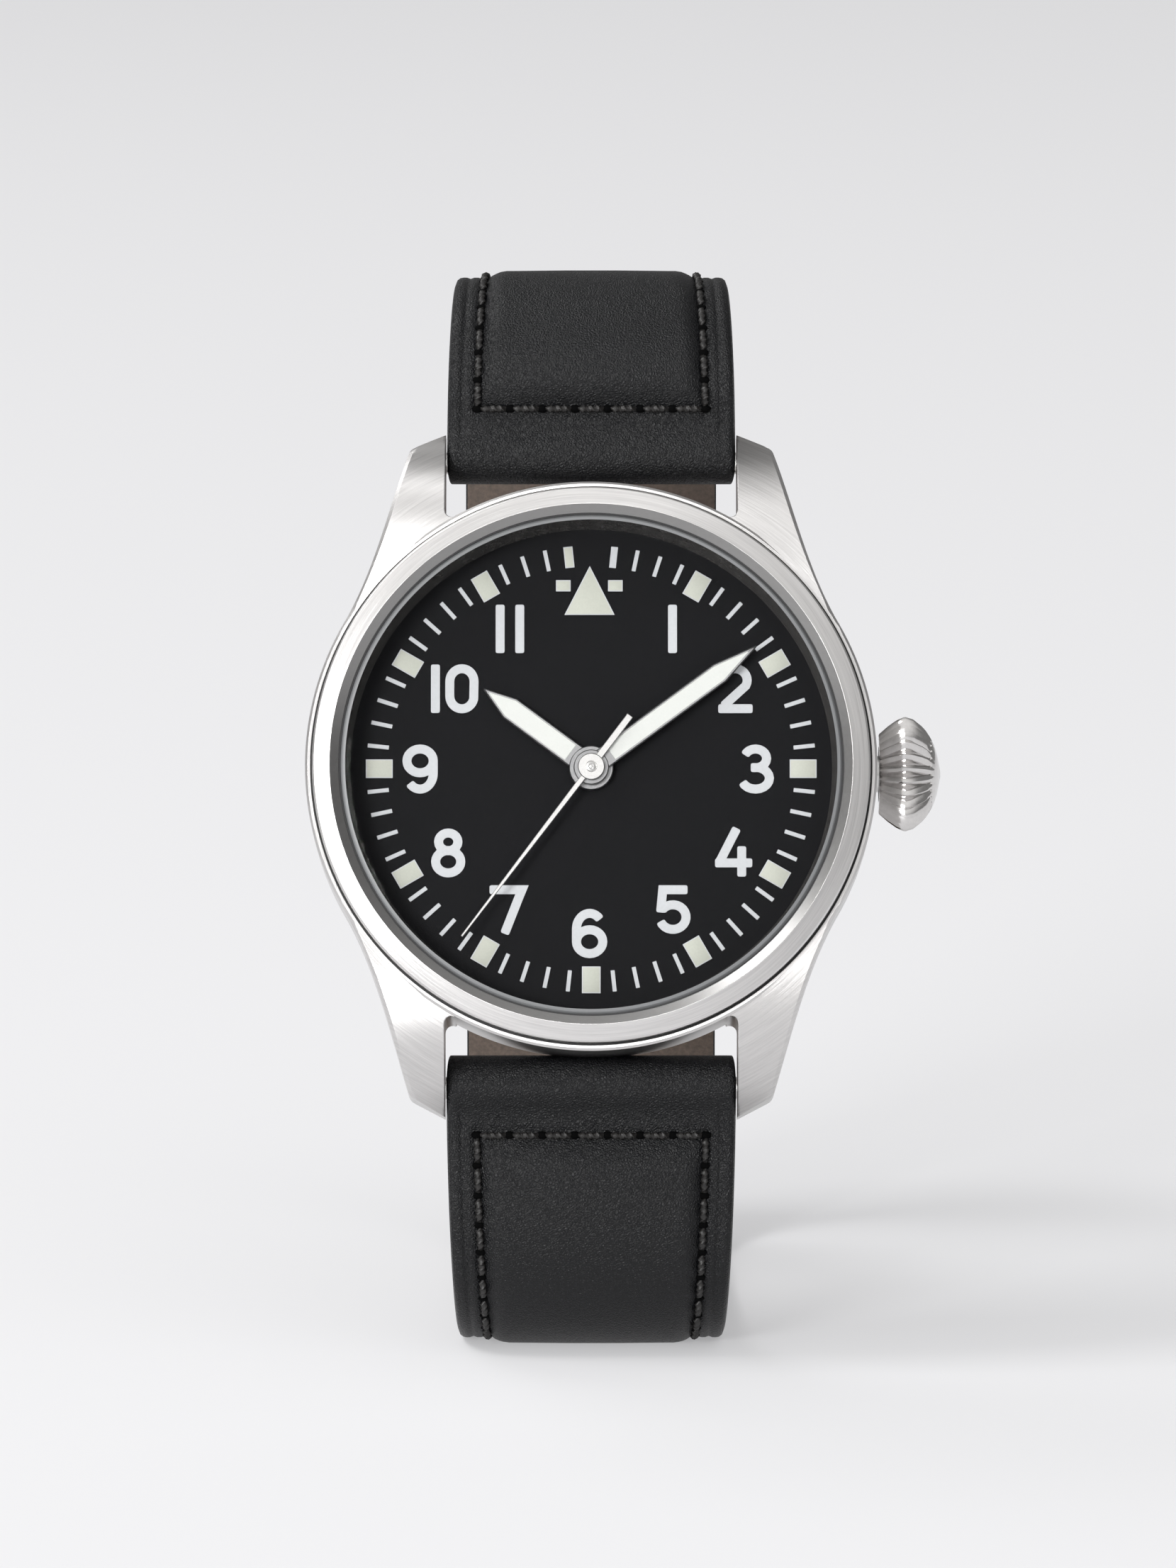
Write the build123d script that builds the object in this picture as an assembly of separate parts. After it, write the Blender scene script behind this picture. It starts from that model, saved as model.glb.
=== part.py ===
from build123d import *
import os
from math import atan2, cos, degrees, radians, sin, sqrt

os.makedirs("parts", exist_ok=True)

# A pilot watch with a hand-wound movement, buckled into a loop and standing on the cut bottom of its strap.
# Head and movement are modelled flat: X to 3 o'clock, Y to 12 o'clock, Z out of the dial, dial face at 0.
# The strap is modelled as it stands, from the dial centre: X to 3 o'clock, Y to the back, Z up.
# All lengths are millimetres, all angles degrees.

# How the watch stands
LEAN_ANGLE = 14.0
LOOP_DROP = 40.7
REST_BEHIND_DIAL = 23.0
OVERRUN = 1.0

# Clearances
RUNNING_GAP = 0.03
PART_GAP = 0.05
RING_GAP = 0.1
STRAP_SIDE_GAP = 0.1

# Going train: tooth counts, distances and wheels
CENTRE_TEETH = 64
THIRD_PINION_TEETH = 8
THIRD_TEETH = 60
FOURTH_PINION_TEETH = 8
FOURTH_TEETH = 70
ESCAPE_PINION_TEETH = 7
ESCAPE_TEETH = 15
BARREL_TEETH = 72
CENTRE_PINION_TEETH = 10
THIRD_DISTANCE = 4.5
THIRD_ANGLE = 185.0
ESCAPE_DISTANCE = 4.4
ESCAPE_ANGLE = 262.0
BARREL_DISTANCE = 6.15
ESCAPE_R = 1.9
WHEEL_THICK = 0.14
PINION_THICK = 0.4
RIM_WIDTH = 0.55
SPOKE_WIDTH = 0.5
SPOKE_COUNT = 4
TIP_SHARE = 0.8
ROOT_SHARE = 0.95
FOURTH_CUT = 0.4
THIRD_CUT = 0.53

# Arbors and pipes, one inside the next
ARBOR_R = 0.2
PINION_ARBOR_R = 0.16
SECONDS_ARBOR_R = 0.15
TUBE_WALL = 0.22
CENTRE_TUBE_BORE_R = SECONDS_ARBOR_R + PART_GAP
CENTRE_TUBE_R = CENTRE_TUBE_BORE_R + TUBE_WALL
CANNON_WALL = 0.2
CANNON_BORE_R = CENTRE_TUBE_R + RUNNING_GAP
CANNON_R = CANNON_BORE_R + CANNON_WALL
HOUR_PIPE_WALL = 0.25
HOUR_PIPE_BORE_R = CANNON_R + PART_GAP
HOUR_PIPE_R = HOUR_PIPE_BORE_R + HOUR_PIPE_WALL

# Barrel and mainspring
BARREL_STEP = 0.2
BARREL_R = BARREL_DISTANCE * BARREL_TEETH / (BARREL_TEETH + CENTRE_PINION_TEETH) - BARREL_STEP
BARREL_HEIGHT = 1.15
BARREL_TOOTHED = 0.35
BARREL_WALL = 0.2
BARREL_CUT = 0.65
BARREL_ARBOR_R = 0.7
MAINSPRING_TURNS = 7
MAINSPRING_THICK = 0.18
MAINSPRING_ROOM = 0.65
MAINSPRING_INNER_R = BARREL_ARBOR_R + MAINSPRING_ROOM

# Plates, in from the dial
DIAL_THICK = 0.4
MOTION_ROOM = 1.15
PLATE_THICK = 1.0
PLATE_MARGIN = 1.85
PLATE_R = BARREL_DISTANCE + BARREL_R + PLATE_MARGIN
PLATE_TOP = -DIAL_THICK - MOTION_ROOM
PLATE_UNDER = PLATE_TOP - PLATE_THICK
STEM_DROP = 0.95
STEM_Z = PLATE_UNDER - STEM_DROP
BRIDGE_INSET = 0.2
BRIDGE_R = PLATE_R - BRIDGE_INSET
BRIDGE_FOOT_WIDTH = 2.4
BRIDGE_FOOT_R = BRIDGE_R - BRIDGE_FOOT_WIDTH
BRIDGE_LEFT_X = -3.0
BRIDGE_EDGE_Y = 1.9
BRIDGE_STUD_R = 0.9
TRAIN_EDGE_X = 2.2
TRAIN_EDGE_Y = 3.5
TRAIN_FOOT_X = -BRIDGE_R / 2
BARREL_SCREW_ANGLES = (28.0, 100.0)
TRAIN_SCREW_ANGLES = (166.0, 214.0)
SCREW_R = 0.7
SCREW_HEAD = 0.3
SCREW_SLOT = 0.18

# Heights in the movement, each hung from the plate or the piece above it
BARREL_HEADROOM = 0.5
BARREL_HIGH = PLATE_UNDER - BARREL_HEADROOM
BARREL_LOW = BARREL_HIGH - BARREL_HEIGHT
BARREL_BRIDGE_THICK = 0.4
BARREL_BRIDGE_HIGH = BARREL_LOW - RING_GAP
BARREL_BRIDGE_LOW = BARREL_BRIDGE_HIGH - BARREL_BRIDGE_THICK
CENTRE_WHEEL_DROP = 0.35
CENTRE_WHEEL_Z = PLATE_UNDER - CENTRE_WHEEL_DROP
FOURTH_WHEEL_DROP = 0.29
FOURTH_WHEEL_Z = BARREL_LOW - FOURTH_WHEEL_DROP
THIRD_WHEEL_DROP = 0.17
THIRD_WHEEL_Z = FOURTH_WHEEL_Z - WHEEL_THICK - THIRD_WHEEL_DROP
WINDING_WHEEL_THICK = 0.32
WINDING_WHEEL_HIGH = BARREL_BRIDGE_LOW - RING_GAP
WINDING_WHEEL_LOW = WINDING_WHEEL_HIGH - WINDING_WHEEL_THICK
TRAIN_BRIDGE_THICK = 0.55
TRAIN_BRIDGE_DROP = 0.25
TRAIN_BRIDGE_HIGH = THIRD_WHEEL_Z - TRAIN_BRIDGE_DROP
TRAIN_BRIDGE_LOW = TRAIN_BRIDGE_HIGH - TRAIN_BRIDGE_THICK
ESCAPE_WHEEL_DROP = 1.2
ESCAPE_WHEEL_Z = PLATE_UNDER - ESCAPE_WHEEL_DROP

# Escapement
ESCAPE_LEAN_SHARE = 0.3
PALLET_LINE_ANGLE = -35.0
PALLET_SPAN_ANGLE = 30.0
PALLET_REACH = ESCAPE_R / cos(radians(PALLET_SPAN_ANGLE))
PALLET_THICK = 0.2
PALLET_ARM_WIDTH = 0.34
PALLET_HORN = 0.42
PALLET_HORN_WIDTH = 0.15
PALLET_HORN_OUT = 0.28
PALLET_STONE_LENGTH = 0.46
PALLET_STONE_WIDTH = 0.3
PALLET_STONE_OUT = 0.053
PALLET_STONE_REACH = PALLET_REACH * sin(radians(PALLET_SPAN_ANGLE)) + PALLET_STONE_OUT
IMPULSE_PIN_R = 0.13
IMPULSE_PIN_REACH = 0.5
PALLET_LEVER = 2.35
PALLET_LEVER_SHORT = 0.35
BALANCE_REACH = PALLET_LEVER + IMPULSE_PIN_REACH + PALLET_LEVER_SHORT
PALLET_BRIDGE_REACH = 3.2
PALLET_BRIDGE_HALF = 0.6
PALLET_BRIDGE_THICK = 0.2
PALLET_BRIDGE_DROP = 0.1
PALLET_BRIDGE_HIGH = ESCAPE_WHEEL_Z - PALLET_THICK / 4 - PALLET_BRIDGE_DROP
PALLET_BRIDGE_LOW = PALLET_BRIDGE_HIGH - PALLET_BRIDGE_THICK

# Balance: roller, wheel, spring and cock, each below the last
BALANCE_R = 4.1
BALANCE_RIM = 0.5
BALANCE_ARM = 0.5
BALANCE_BOSS_R = 0.7
BALANCE_THICK = 0.4
BALANCE_CLEAR = 0.5
ROLLER_R = 0.75
ROLLER_THICK = 0.2
ROLLER_DROP = 0.15
ROLLER_HIGH = ESCAPE_WHEEL_Z - PALLET_THICK / 4 - ROLLER_DROP
ROLLER_LOW = ROLLER_HIGH - ROLLER_THICK
IMPULSE_PIN_HIGH = ESCAPE_WHEEL_Z + PALLET_THICK * 3 / 4
BALANCE_HIGH = ROLLER_LOW - PART_GAP
BALANCE_LOW = BALANCE_HIGH - BALANCE_THICK
HAIRSPRING_TURNS = 6
HAIRSPRING_THICK = 0.12
HAIRSPRING_PITCH = 0.4
HAIRSPRING_COLLET = 0.55
HAIRSPRING_INNER_R = ARBOR_R + HAIRSPRING_COLLET
HAIRSPRING_HEIGHT = 0.2
HAIRSPRING_DROP = 0.18
HAIRSPRING_HIGH = BALANCE_LOW - HAIRSPRING_DROP
HAIRSPRING_LOW = HAIRSPRING_HIGH - HAIRSPRING_HEIGHT
COCK_FOOT_X = 9.9
COCK_FOOT_Y = -5.3
COCK_FOOT_R = 1.5
COCK_END_R = 1.2
COCK_THICK = 0.55
COCK_DROP = 0.17
COCK_HIGH = HAIRSPRING_LOW - COCK_DROP
COCK_LOW = COCK_HIGH - COCK_THICK

# Motion work between dial and plate, and the hands that it carries
CANNON_TEETH = 12
MINUTE_WHEEL_TEETH = 36
MINUTE_PINION_TEETH = 10
HOUR_WHEEL_TEETH = 40
MOTION_DISTANCE = 3.3
MOTION_ANGLE = 60.0
CANNON_LEAF = 0.38
CANNON_LOW = PLATE_TOP + PART_GAP
CANNON_LEAF_HIGH = CANNON_LOW + CANNON_LEAF
MINUTE_WHEEL_Z = CANNON_LOW + RING_GAP
MINUTE_PINION_HEIGHT = 0.78
MINUTE_PINION_HIGH = MINUTE_WHEEL_Z + MINUTE_PINION_HEIGHT
HOUR_WHEEL_LIFT = 0.17
HOUR_WHEEL_Z = CANNON_LEAF_HIGH + HOUR_WHEEL_LIFT
HAND_LIFT = 0.45
HAND_THICK = 0.2
HAND_SPACING = 0.3
SECONDS_HAND_THICK = 0.15
PIPE_STAND = 0.07
PIN_STAND = 0.11
HOUR_HAND_LOW = HAND_LIFT
HOUR_HAND_HIGH = HOUR_HAND_LOW + HAND_THICK
HOUR_PIPE_TOP = HOUR_HAND_HIGH + PIPE_STAND
MINUTE_HAND_LOW = HOUR_HAND_HIGH + HAND_SPACING
MINUTE_HAND_HIGH = MINUTE_HAND_LOW + HAND_THICK
CANNON_STAND = 0.09
CANNON_TOP = MINUTE_HAND_HIGH + CANNON_STAND
SECONDS_SPACING = 0.16
SECONDS_HAND_LOW = CANNON_TOP + SECONDS_SPACING
SECONDS_HAND_HIGH = SECONDS_HAND_LOW + SECONDS_HAND_THICK
SECONDS_ARBOR_TOP = SECONDS_HAND_HIGH + PIN_STAND

# Winding and setting, out along the stem
WINDING_MODULE = 0.2
CROWN_WHEEL_X = 6.8
CROWN_WHEEL_TEETH = 26
RATCHET_TEETH = 36
CROWN_WHEEL_R = CROWN_WHEEL_TEETH * WINDING_MODULE / 2
RATCHET_R = RATCHET_TEETH * WINDING_MODULE / 2
RATCHET_CLEAR = 0.4
WINDING_SCREW_R = 1.0
WINDING_PINION_R = 1.25
WINDING_PINION_TEETH = 13
WINDING_PINION_X = CROWN_WHEEL_X + CROWN_WHEEL_R
WINDING_PINION_LENGTH = 1.2
SLIDING_PINION_R = 0.95
SLIDING_PINION_LENGTH = 1.35
SLIDING_PINION_X = WINDING_PINION_X - PART_GAP - SLIDING_PINION_LENGTH
SLIDING_GROOVE_DEPTH = 0.2
SLIDING_GROOVE_R = SLIDING_PINION_R - SLIDING_GROOVE_DEPTH
SLIDING_GROOVE_WIDTH = 0.35
STEM_R = 0.6
STEM_SQUARE = 0.82
STEM_TIP_R = 0.35
STEM_TIP_LENGTH = 0.7
STEM_SQUARE_LENGTH = 1.7
STEM_SQUARE_START = 0.4
STEM_SQUARE_X = SLIDING_PINION_X - STEM_SQUARE_START
STEM_TIP_X = STEM_SQUARE_X - STEM_TIP_LENGTH
STEM_ROUND_X = STEM_SQUARE_X + STEM_SQUARE_LENGTH
STEM_GROOVE_DEPTH = 0.28
STEM_GROOVE_R = STEM_R - STEM_GROOVE_DEPTH
STEM_GROOVE_WIDTH = 0.66
STEM_GROOVE_OUT = 0.6
STEM_GROOVE_X = WINDING_PINION_X + WINDING_PINION_LENGTH + STEM_GROOVE_OUT
CROWN_PULL = 1.4
CLICK_OUT = 1.35
CLICK_DISTANCE = RATCHET_R + CLICK_OUT
CLICK_ANGLE = 112.0
CLICK_R = 0.55
CLICK_LENGTH = 1.7
CLICK_POINT = 0.25
CLICK_LEAN_ANGLE = 48.0
LEVER_R = 3.0
LEVER_EYE_R = 0.65
LEVER_HALF = 0.42
LEVER_THICK = 0.22
LEVER_HIGH = PLATE_UNDER - PART_GAP
LEVER_LOW = LEVER_HIGH - LEVER_THICK
LEVER_PIN_R = 0.22
LEVER_PIN_LENGTH = 0.33
LEVER_PIN_LOW = LEVER_LOW - LEVER_PIN_LENGTH
KEYLESS_RECESS_X = SLIDING_PINION_X - RING_GAP
KEYLESS_RECESS_WIDTH = 2.9
KEYLESS_RECESS_DEPTH = 0.45
KEYLESS_RECESS_TOP = PLATE_UNDER + KEYLESS_RECESS_DEPTH

# Dial and its luminous plots
DIAL_OVERHANG = 3.75
DIAL_R = PLATE_R + DIAL_OVERHANG
DIAL_HOLE_GAP = 0.25
DIAL_HOLE_R = HOUR_PIPE_R + DIAL_HOLE_GAP
HOUR_STEP_ANGLE = 30.0
PLOT_THICK = 0.06
PLOT_WIDTH = 1.27
PLOT_LENGTH = 1.83
PLOT_SET_IN = 1.56
PLOT_OUTER_R = DIAL_R - PLOT_SET_IN
PLOT_INNER_R = PLOT_OUTER_R - PLOT_LENGTH
TRIANGLE_SET_IN = 3.0
TRIANGLE_HEIGHT = 3.37
TRIANGLE_WIDTH = 3.45
TRIANGLE_APEX_Y = DIAL_R - TRIANGLE_SET_IN
TRIANGLE_BASE_Y = TRIANGLE_APEX_Y - TRIANGLE_HEIGHT
SQUARE_X = 1.65
SQUARE_BELOW_APEX = 1.37
SQUARE_Y = TRIANGLE_APEX_Y - SQUARE_BELOW_APEX
SQUARE_WIDTH = 0.99
SQUARE_HEIGHT = 0.76

# Rings round the dial, out to the case: sloping ring, crystal, gasket, bezel, rim
BORE_R = DIAL_R + RING_GAP
REHAUT_R = BORE_R - PART_GAP
REHAUT_FOOT_WIDTH = 0.55
REHAUT_FOOT_R = REHAUT_R - REHAUT_FOOT_WIDTH
REHAUT_TOP_WIDTH = 0.1
REHAUT_TOP_R = REHAUT_R - REHAUT_TOP_WIDTH
CRYSTAL_LEDGE = 0.05
CRYSTAL_R = BORE_R + CRYSTAL_LEDGE
GASKET_WALL = 0.3
GASKET_R = CRYSTAL_R + GASKET_WALL
BEZEL_FIT = 0.02
BEZEL_WIDTH = 1.58
BEZEL_BORE_R = GASKET_R + BEZEL_FIT
BEZEL_R = BEZEL_BORE_R + BEZEL_WIDTH
BEZEL_EDGE = 0.1
BEZEL_FLAT_R = BEZEL_R - BEZEL_EDGE
BEZEL_FLAT_WIDTH = 1.2
BEZEL_CREST_R = BEZEL_R - BEZEL_FLAT_WIDTH
BEZEL_GROOVE = 0.15
POCKET_R = BEZEL_R + BEZEL_GROOVE
CASE_RIM = 0.35
CASE_R = POCKET_R + CASE_RIM

# Heights of the rings above the dial
REHAUT_TOP = 1.9
CRYSTAL_SEAT = REHAUT_TOP + RUNNING_GAP
CRYSTAL_LIFT = 0.02
CRYSTAL_UNDER = CRYSTAL_SEAT + CRYSTAL_LIFT
CRYSTAL_THICK = 1.35
CRYSTAL_DOME = 0.25
CRYSTAL_EDGE_TOP = CRYSTAL_UNDER + CRYSTAL_THICK
CRYSTAL_TOP = CRYSTAL_EDGE_TOP + CRYSTAL_DOME
GASKET_TOP = CRYSTAL_EDGE_TOP - RING_GAP
POCKET_STEP = 0.07
POCKET_FLOOR = CRYSTAL_SEAT + POCKET_STEP
BEZEL_WALL = 1.25
BEZEL_WALL_TOP = POCKET_FLOOR + BEZEL_WALL
BEZEL_EDGE_RISE = 0.1
BEZEL_FLAT_Z = BEZEL_WALL_TOP + BEZEL_EDGE_RISE
BEZEL_RISE = 0.37
BEZEL_CREST_Z = BEZEL_FLAT_Z + BEZEL_RISE
BEZEL_LIP_FALL = 0.42
BEZEL_LIP_Z = BEZEL_CREST_Z - BEZEL_LIP_FALL
BEZEL_SINK = 0.3
CASE_TOP = POCKET_FLOOR + BEZEL_SINK
CASE_EDGE = 0.15

# Casing ring and clamps round the movement
RING_FIT = 0.1
MOVEMENT_RING_INNER_R = PLATE_R + RING_FIT
MOVEMENT_RING_LOW = -5.1
MOVEMENT_RING_HIGH = -DIAL_THICK - PART_GAP
RING_SHELF = 0.6
RING_SHELF_R = PLATE_R - RING_SHELF
RING_SHELF_LOW = PLATE_TOP + PART_GAP
STEM_CHANNEL_R = 0.95
CLAMP_ANGLES = (135.0, 315.0)
CLAMP_WIDTH = 2.4
CLAMP_THICK = 0.35
CLAMP_HALF_LENGTH = 1.3

# Underside of the case, and the back with its neck and key notches
BACK_LEDGE = 0.1
BACK_GASKET_WIDTH = 0.45
BACK_GASKET_DEEP = 0.4
BACK_LIP = 0.3
BACK_SET_IN = 0.5
BACK_GASKET_INNER_R = BORE_R + BACK_LEDGE
BACK_GASKET_OUTER_R = BACK_GASKET_INNER_R + BACK_GASKET_WIDTH
BACK_R = BACK_GASKET_OUTER_R + BACK_LIP
CASE_FOOT_R = BACK_R + BACK_SET_IN
NECK_HEIGHT = 0.8
NECK_TOP = MOVEMENT_RING_LOW - RING_GAP
CASE_BOTTOM = NECK_TOP - NECK_HEIGHT
CASE_SIDE_RISE = 1.8
CASE_SIDE_LOW = CASE_BOTTOM + CASE_SIDE_RISE
BACK_THICK = 1.4
BACK_OUTER = CASE_BOTTOM - BACK_THICK
BACK_EDGE = 0.5
BACK_FLOOR_THICK = 0.7
BACK_RECESS_FLOOR = BACK_OUTER + BACK_FLOOR_THICK
NECK_WALL = 1.0
NECK_INNER_R = BORE_R - PART_GAP - NECK_WALL
BACK_RECESS_STEP = 0.8
BACK_RECESS_R = NECK_INNER_R - BACK_RECESS_STEP
NOTCH_COUNT = 6
NOTCH_WIDTH = 2.4
NOTCH_DEPTH = 0.5
NOTCH_LENGTH = 1.6

# Spring bars and lugs
LUG_GAP = 20.0
STRAP_BAR_OUT = 2.05
STRAP_BAR_Y = CASE_R + STRAP_BAR_OUT
STRAP_BAR_RISE = 2.1
STRAP_BAR_Z = CASE_BOTTOM + STRAP_BAR_RISE
STRAP_BAR_R = 0.75
STRAP_BAR_TIP_R = 0.4
STRAP_BAR_TIP_LENGTH = 1.4
LUG_ROOT_ANGLE = 26.0
LUG_WIDTH = 2.5
LUG_END = 2.05
LUG_TIP_Y = STRAP_BAR_Y + LUG_END
LUG_TIP_X = LUG_GAP / 2 + LUG_WIDTH
LUG_CORNER = 1.35
LUG_ROOT_SHARE = 0.565
LUG_ROOT_Y = CASE_R * LUG_ROOT_SHARE
LUG_CREST_IN = 4.5
LUG_CREST_Y = CASE_R - LUG_CREST_IN
LUG_CREST_ANGLE = 5.0
LUG_TIP_DROP = 0.7
LUG_TIP_TOP = STRAP_BAR_Z - LUG_TIP_DROP
LUG_TIP_HEIGHT = 2.0
LUG_TIP_FOOT = LUG_TIP_TOP - LUG_TIP_HEIGHT
LUG_HEEL_IN = 2.2
LUG_HEEL_Y = LUG_TIP_Y - LUG_HEEL_IN
LUG_HEEL_DROP = 0.4
LUG_HEEL_Z = LUG_TIP_FOOT - LUG_HEEL_DROP
LUG_TIP_SET_BACK = 0.3
LUG_BEVEL = 0.27

# Crown and its tube
CROWN_STAND = 0.22
CROWN_INNER_X = CASE_R + CROWN_STAND
CROWN_INNER_R = 2.7
CROWN_SLOPE_LENGTH = 1.78
CROWN_BELT_X = CROWN_INNER_X + CROWN_SLOPE_LENGTH
CROWN_FLARE = 1.23
CROWN_BELT_R = CROWN_INNER_R + CROWN_FLARE
CROWN_SHOULDER_LENGTH = 1.25
CROWN_SHOULDER_FALL = 0.68
CROWN_SLOPE_X = CROWN_BELT_X + CROWN_SHOULDER_LENGTH
CROWN_SLOPE_R = CROWN_BELT_R - CROWN_SHOULDER_FALL
CROWN_FACE_LENGTH = 0.75
CROWN_FACE_FALL = 1.29
CROWN_CAP_X = CROWN_SLOPE_X + CROWN_FACE_LENGTH
CROWN_CAP_R = CROWN_SLOPE_R - CROWN_FACE_FALL
CROWN_DOME_LENGTH = 0.32
CROWN_DOME_X = CROWN_CAP_X + CROWN_DOME_LENGTH
CROWN_DOME_R = 1.0
CROWN_TIP_LENGTH = 0.13
CROWN_TIP_X = CROWN_DOME_X + CROWN_TIP_LENGTH
CROWN_FLUTES = 26
FLUTE_WIDTH = 0.44
FLUTE_DEPTH = 0.34
CROWN_SEAL_WALL = 0.32
CROWN_SEAL_R = STEM_R + CROWN_SEAL_WALL
CROWN_SEAL_THICK = 0.55
TUBE_BORE_R = CROWN_SEAL_R + RUNNING_GAP
CROWN_TUBE_WALL = 0.3
TUBE_R = TUBE_BORE_R + CROWN_TUBE_WALL
TUBE_SET_BACK = 0.15
TUBE_INNER_X = BORE_R + TUBE_SET_BACK
TUBE_STAND = 1.48
TUBE_OUTER_X = CROWN_INNER_X + TUBE_STAND
CROWN_CAVITY_GAP = 0.07
CROWN_CAVITY_R = TUBE_R + CROWN_CAVITY_GAP
CROWN_CAVITY_LENGTH = 1.7
CROWN_CAVITY_X = TUBE_OUTER_X + CROWN_CAVITY_LENGTH

# Hands
HOUR_ANGLE = 306.5
HOUR_LENGTH = 9.1
HOUR_POINT_LENGTH = 2.2
HOUR_SHOULDER = HOUR_LENGTH - HOUR_POINT_LENGTH
HOUR_WIDTH = 1.6
HOUR_HUB = 0.56
HOUR_HUB_R = HOUR_PIPE_R + HOUR_HUB
MINUTE_ANGLE = 53.6
MINUTE_LENGTH = 14.0
MINUTE_POINT_LENGTH = 3.1
MINUTE_SHOULDER = MINUTE_LENGTH - MINUTE_POINT_LENGTH
MINUTE_WIDTH = 1.45
MINUTE_HUB = 0.55
MINUTE_HUB_R = CANNON_R + MINUTE_HUB
HAND_RAIL = 0.165
HAND_POINT = 0.5
HAND_FOOT = 0.24
HAND_LUME_START = HOUR_HUB_R + HAND_FOOT
HAND_TIP_RAILS = 3
SECONDS_ANGLE = 217.2
SECONDS_LENGTH = 14.6
SECONDS_WIDTH = 0.38
SECONDS_POINT = 0.15
SECONDS_TAIL = 4.4
SECONDS_TAIL_WIDTH = 0.5
SECONDS_HUB_R = 0.91

# Strap: a padded leather outer glued to a thin lining, both halves folded round their bars
STRAP_EYE_WALL = 1.05
STRAP_EYE_R = STRAP_BAR_R + STRAP_EYE_WALL
STRAP_WIDTH = LUG_GAP - 2 * STRAP_SIDE_GAP
STRAP_NARROWING = 1.8
STRAP_NARROW = STRAP_WIDTH - STRAP_NARROWING
STRAP_TAPER_LENGTH = 32.0
STRAP_THICK_LUG = 3.8
STRAP_THICK_UPPER_END = 2.5
STRAP_THICK_LOWER_END = 2.2
STRAP_THIN_LENGTH = 55.0
LINING_THICK = 0.75
LINING_END_GAP = 0.1
GLUE_LINE = 0.03
PAD_PROUD = 0.45
PAD_RISE_LENGTH = 5.0
PAD_FOOT_INSET = 2.1
PAD_TOP_INSET = 3.9
LEATHER_EDGE = 0.45
PAD_LENGTH = 62.0
PAD_FADE_LENGTH = 14.0
STRAP_STATIONS = 6

# Back run: the buckle bar, then outwards the two layers of strap
BUCKLE_BAR_Y = 46.0
BUCKLE_BAR_Z = -7.0
BUCKLE_BAR_R = 0.6
BUCKLE_EYE_WALL = 0.85
BUCKLE_EYE_R = BUCKLE_BAR_R + BUCKLE_EYE_WALL
STRAP_RUN_OUT = 1.1
LAYER_GAP = 0.65
UPPER_RUN_Y = BUCKLE_BAR_Y + STRAP_RUN_OUT
LOWER_RUN_Y = UPPER_RUN_Y + LAYER_GAP + STRAP_THICK_LOWER_END

# Outer line of the strap, as (back, up) from the dial centre
UPPER_FRONT_Y = 7.9
UPPER_FRONT_Z = 33.5
UPPER_FALL = 8.5
UPPER_FRONT_CORNER = (UPPER_FRONT_Y, UPPER_FRONT_Z)
UPPER_FRONT_R = 9.5
UPPER_BACK_CORNER = (UPPER_RUN_Y, UPPER_FRONT_Z - UPPER_FALL)
UPPER_BACK_R = 13.0
FOOT_CUT = 0.5
LOWER_FRONT_Y = -3.4
LOWER_FRONT_CORNER = (LOWER_FRONT_Y, -LOOP_DROP - FOOT_CUT)
LOWER_FRONT_R = 11.0
LOWER_BACK_CORNER = (LOWER_RUN_Y, -LOOP_DROP - FOOT_CUT)
LOWER_BACK_R = 14.0
TAIL_LENGTH = 20.0
TAIL_TIP_Z = BUCKLE_BAR_Z + TAIL_LENGTH
TAIL_TIP_ROUND = 0.6
TAIL_TIP_R = STRAP_NARROW / 2 + TAIL_TIP_ROUND
TAIL_HOLE_R = 0.95
TAIL_HOLE_PITCH = 6.2
TAIL_HOLES_ABOVE = 2
TAIL_HOLES_BELOW = 3
TAIL_SLOT_TOP = 1.5
TAIL_SLOT_FOOT = -1.95
TAIL_SLOT_SIDE = 0.25

# Buckle and tongue, hung on the buckle bar
TONGUE_WIDTH = 2.2
TAIL_SLOT_WIDTH = TONGUE_WIDTH + 2 * TAIL_SLOT_SIDE
BUCKLE_SIDE_GAP = 0.45
BUCKLE_INNER_HALF = STRAP_NARROW / 2 + BUCKLE_SIDE_GAP
BUCKLE_ARM = 1.5
BUCKLE_HINGE_WALL = 0.7
BUCKLE_HINGE_R = BUCKLE_BAR_R + BUCKLE_HINGE_WALL
BUCKLE_CROSS_R = 0.9
BUCKLE_CROSS_GAP = 0.3
BUCKLE_CROSS_Y = LOWER_RUN_Y + BUCKLE_CROSS_R + BUCKLE_CROSS_GAP
BUCKLE_LENGTH = 9.2
BUCKLE_CROSS_Z = BUCKLE_BAR_Z - BUCKLE_LENGTH
BUCKLE_BAR_STAND = 0.15
TONGUE_THICK = 0.9
TONGUE_EYE_WALL = 0.5
TONGUE_EYE_R = BUCKLE_BAR_R + PART_GAP + TONGUE_EYE_WALL
TONGUE_BEND_OUT = 0.8
TONGUE_BEND_DROP = 1.3
TONGUE_BEND_Y = LOWER_RUN_Y + TONGUE_BEND_OUT
TONGUE_BEND_Z = BUCKLE_BAR_Z - TONGUE_BEND_DROP
TONGUE_BEND_R = 1.2
TONGUE_REST_GAP = 0.4
TONGUE_TIP_OVER = 1.2
TONGUE_TIP_Y = BUCKLE_CROSS_Y + BUCKLE_CROSS_R + TONGUE_THICK / 2 + TONGUE_REST_GAP
TONGUE_TIP_Z = BUCKLE_CROSS_Z - TONGUE_TIP_OVER
TONGUE_SLOT_SIDE = 0.4
TONGUE_SLOT = TONGUE_WIDTH + 2 * TONGUE_SLOT_SIDE
TONGUE_SLOT_RISE = 2.3

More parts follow.
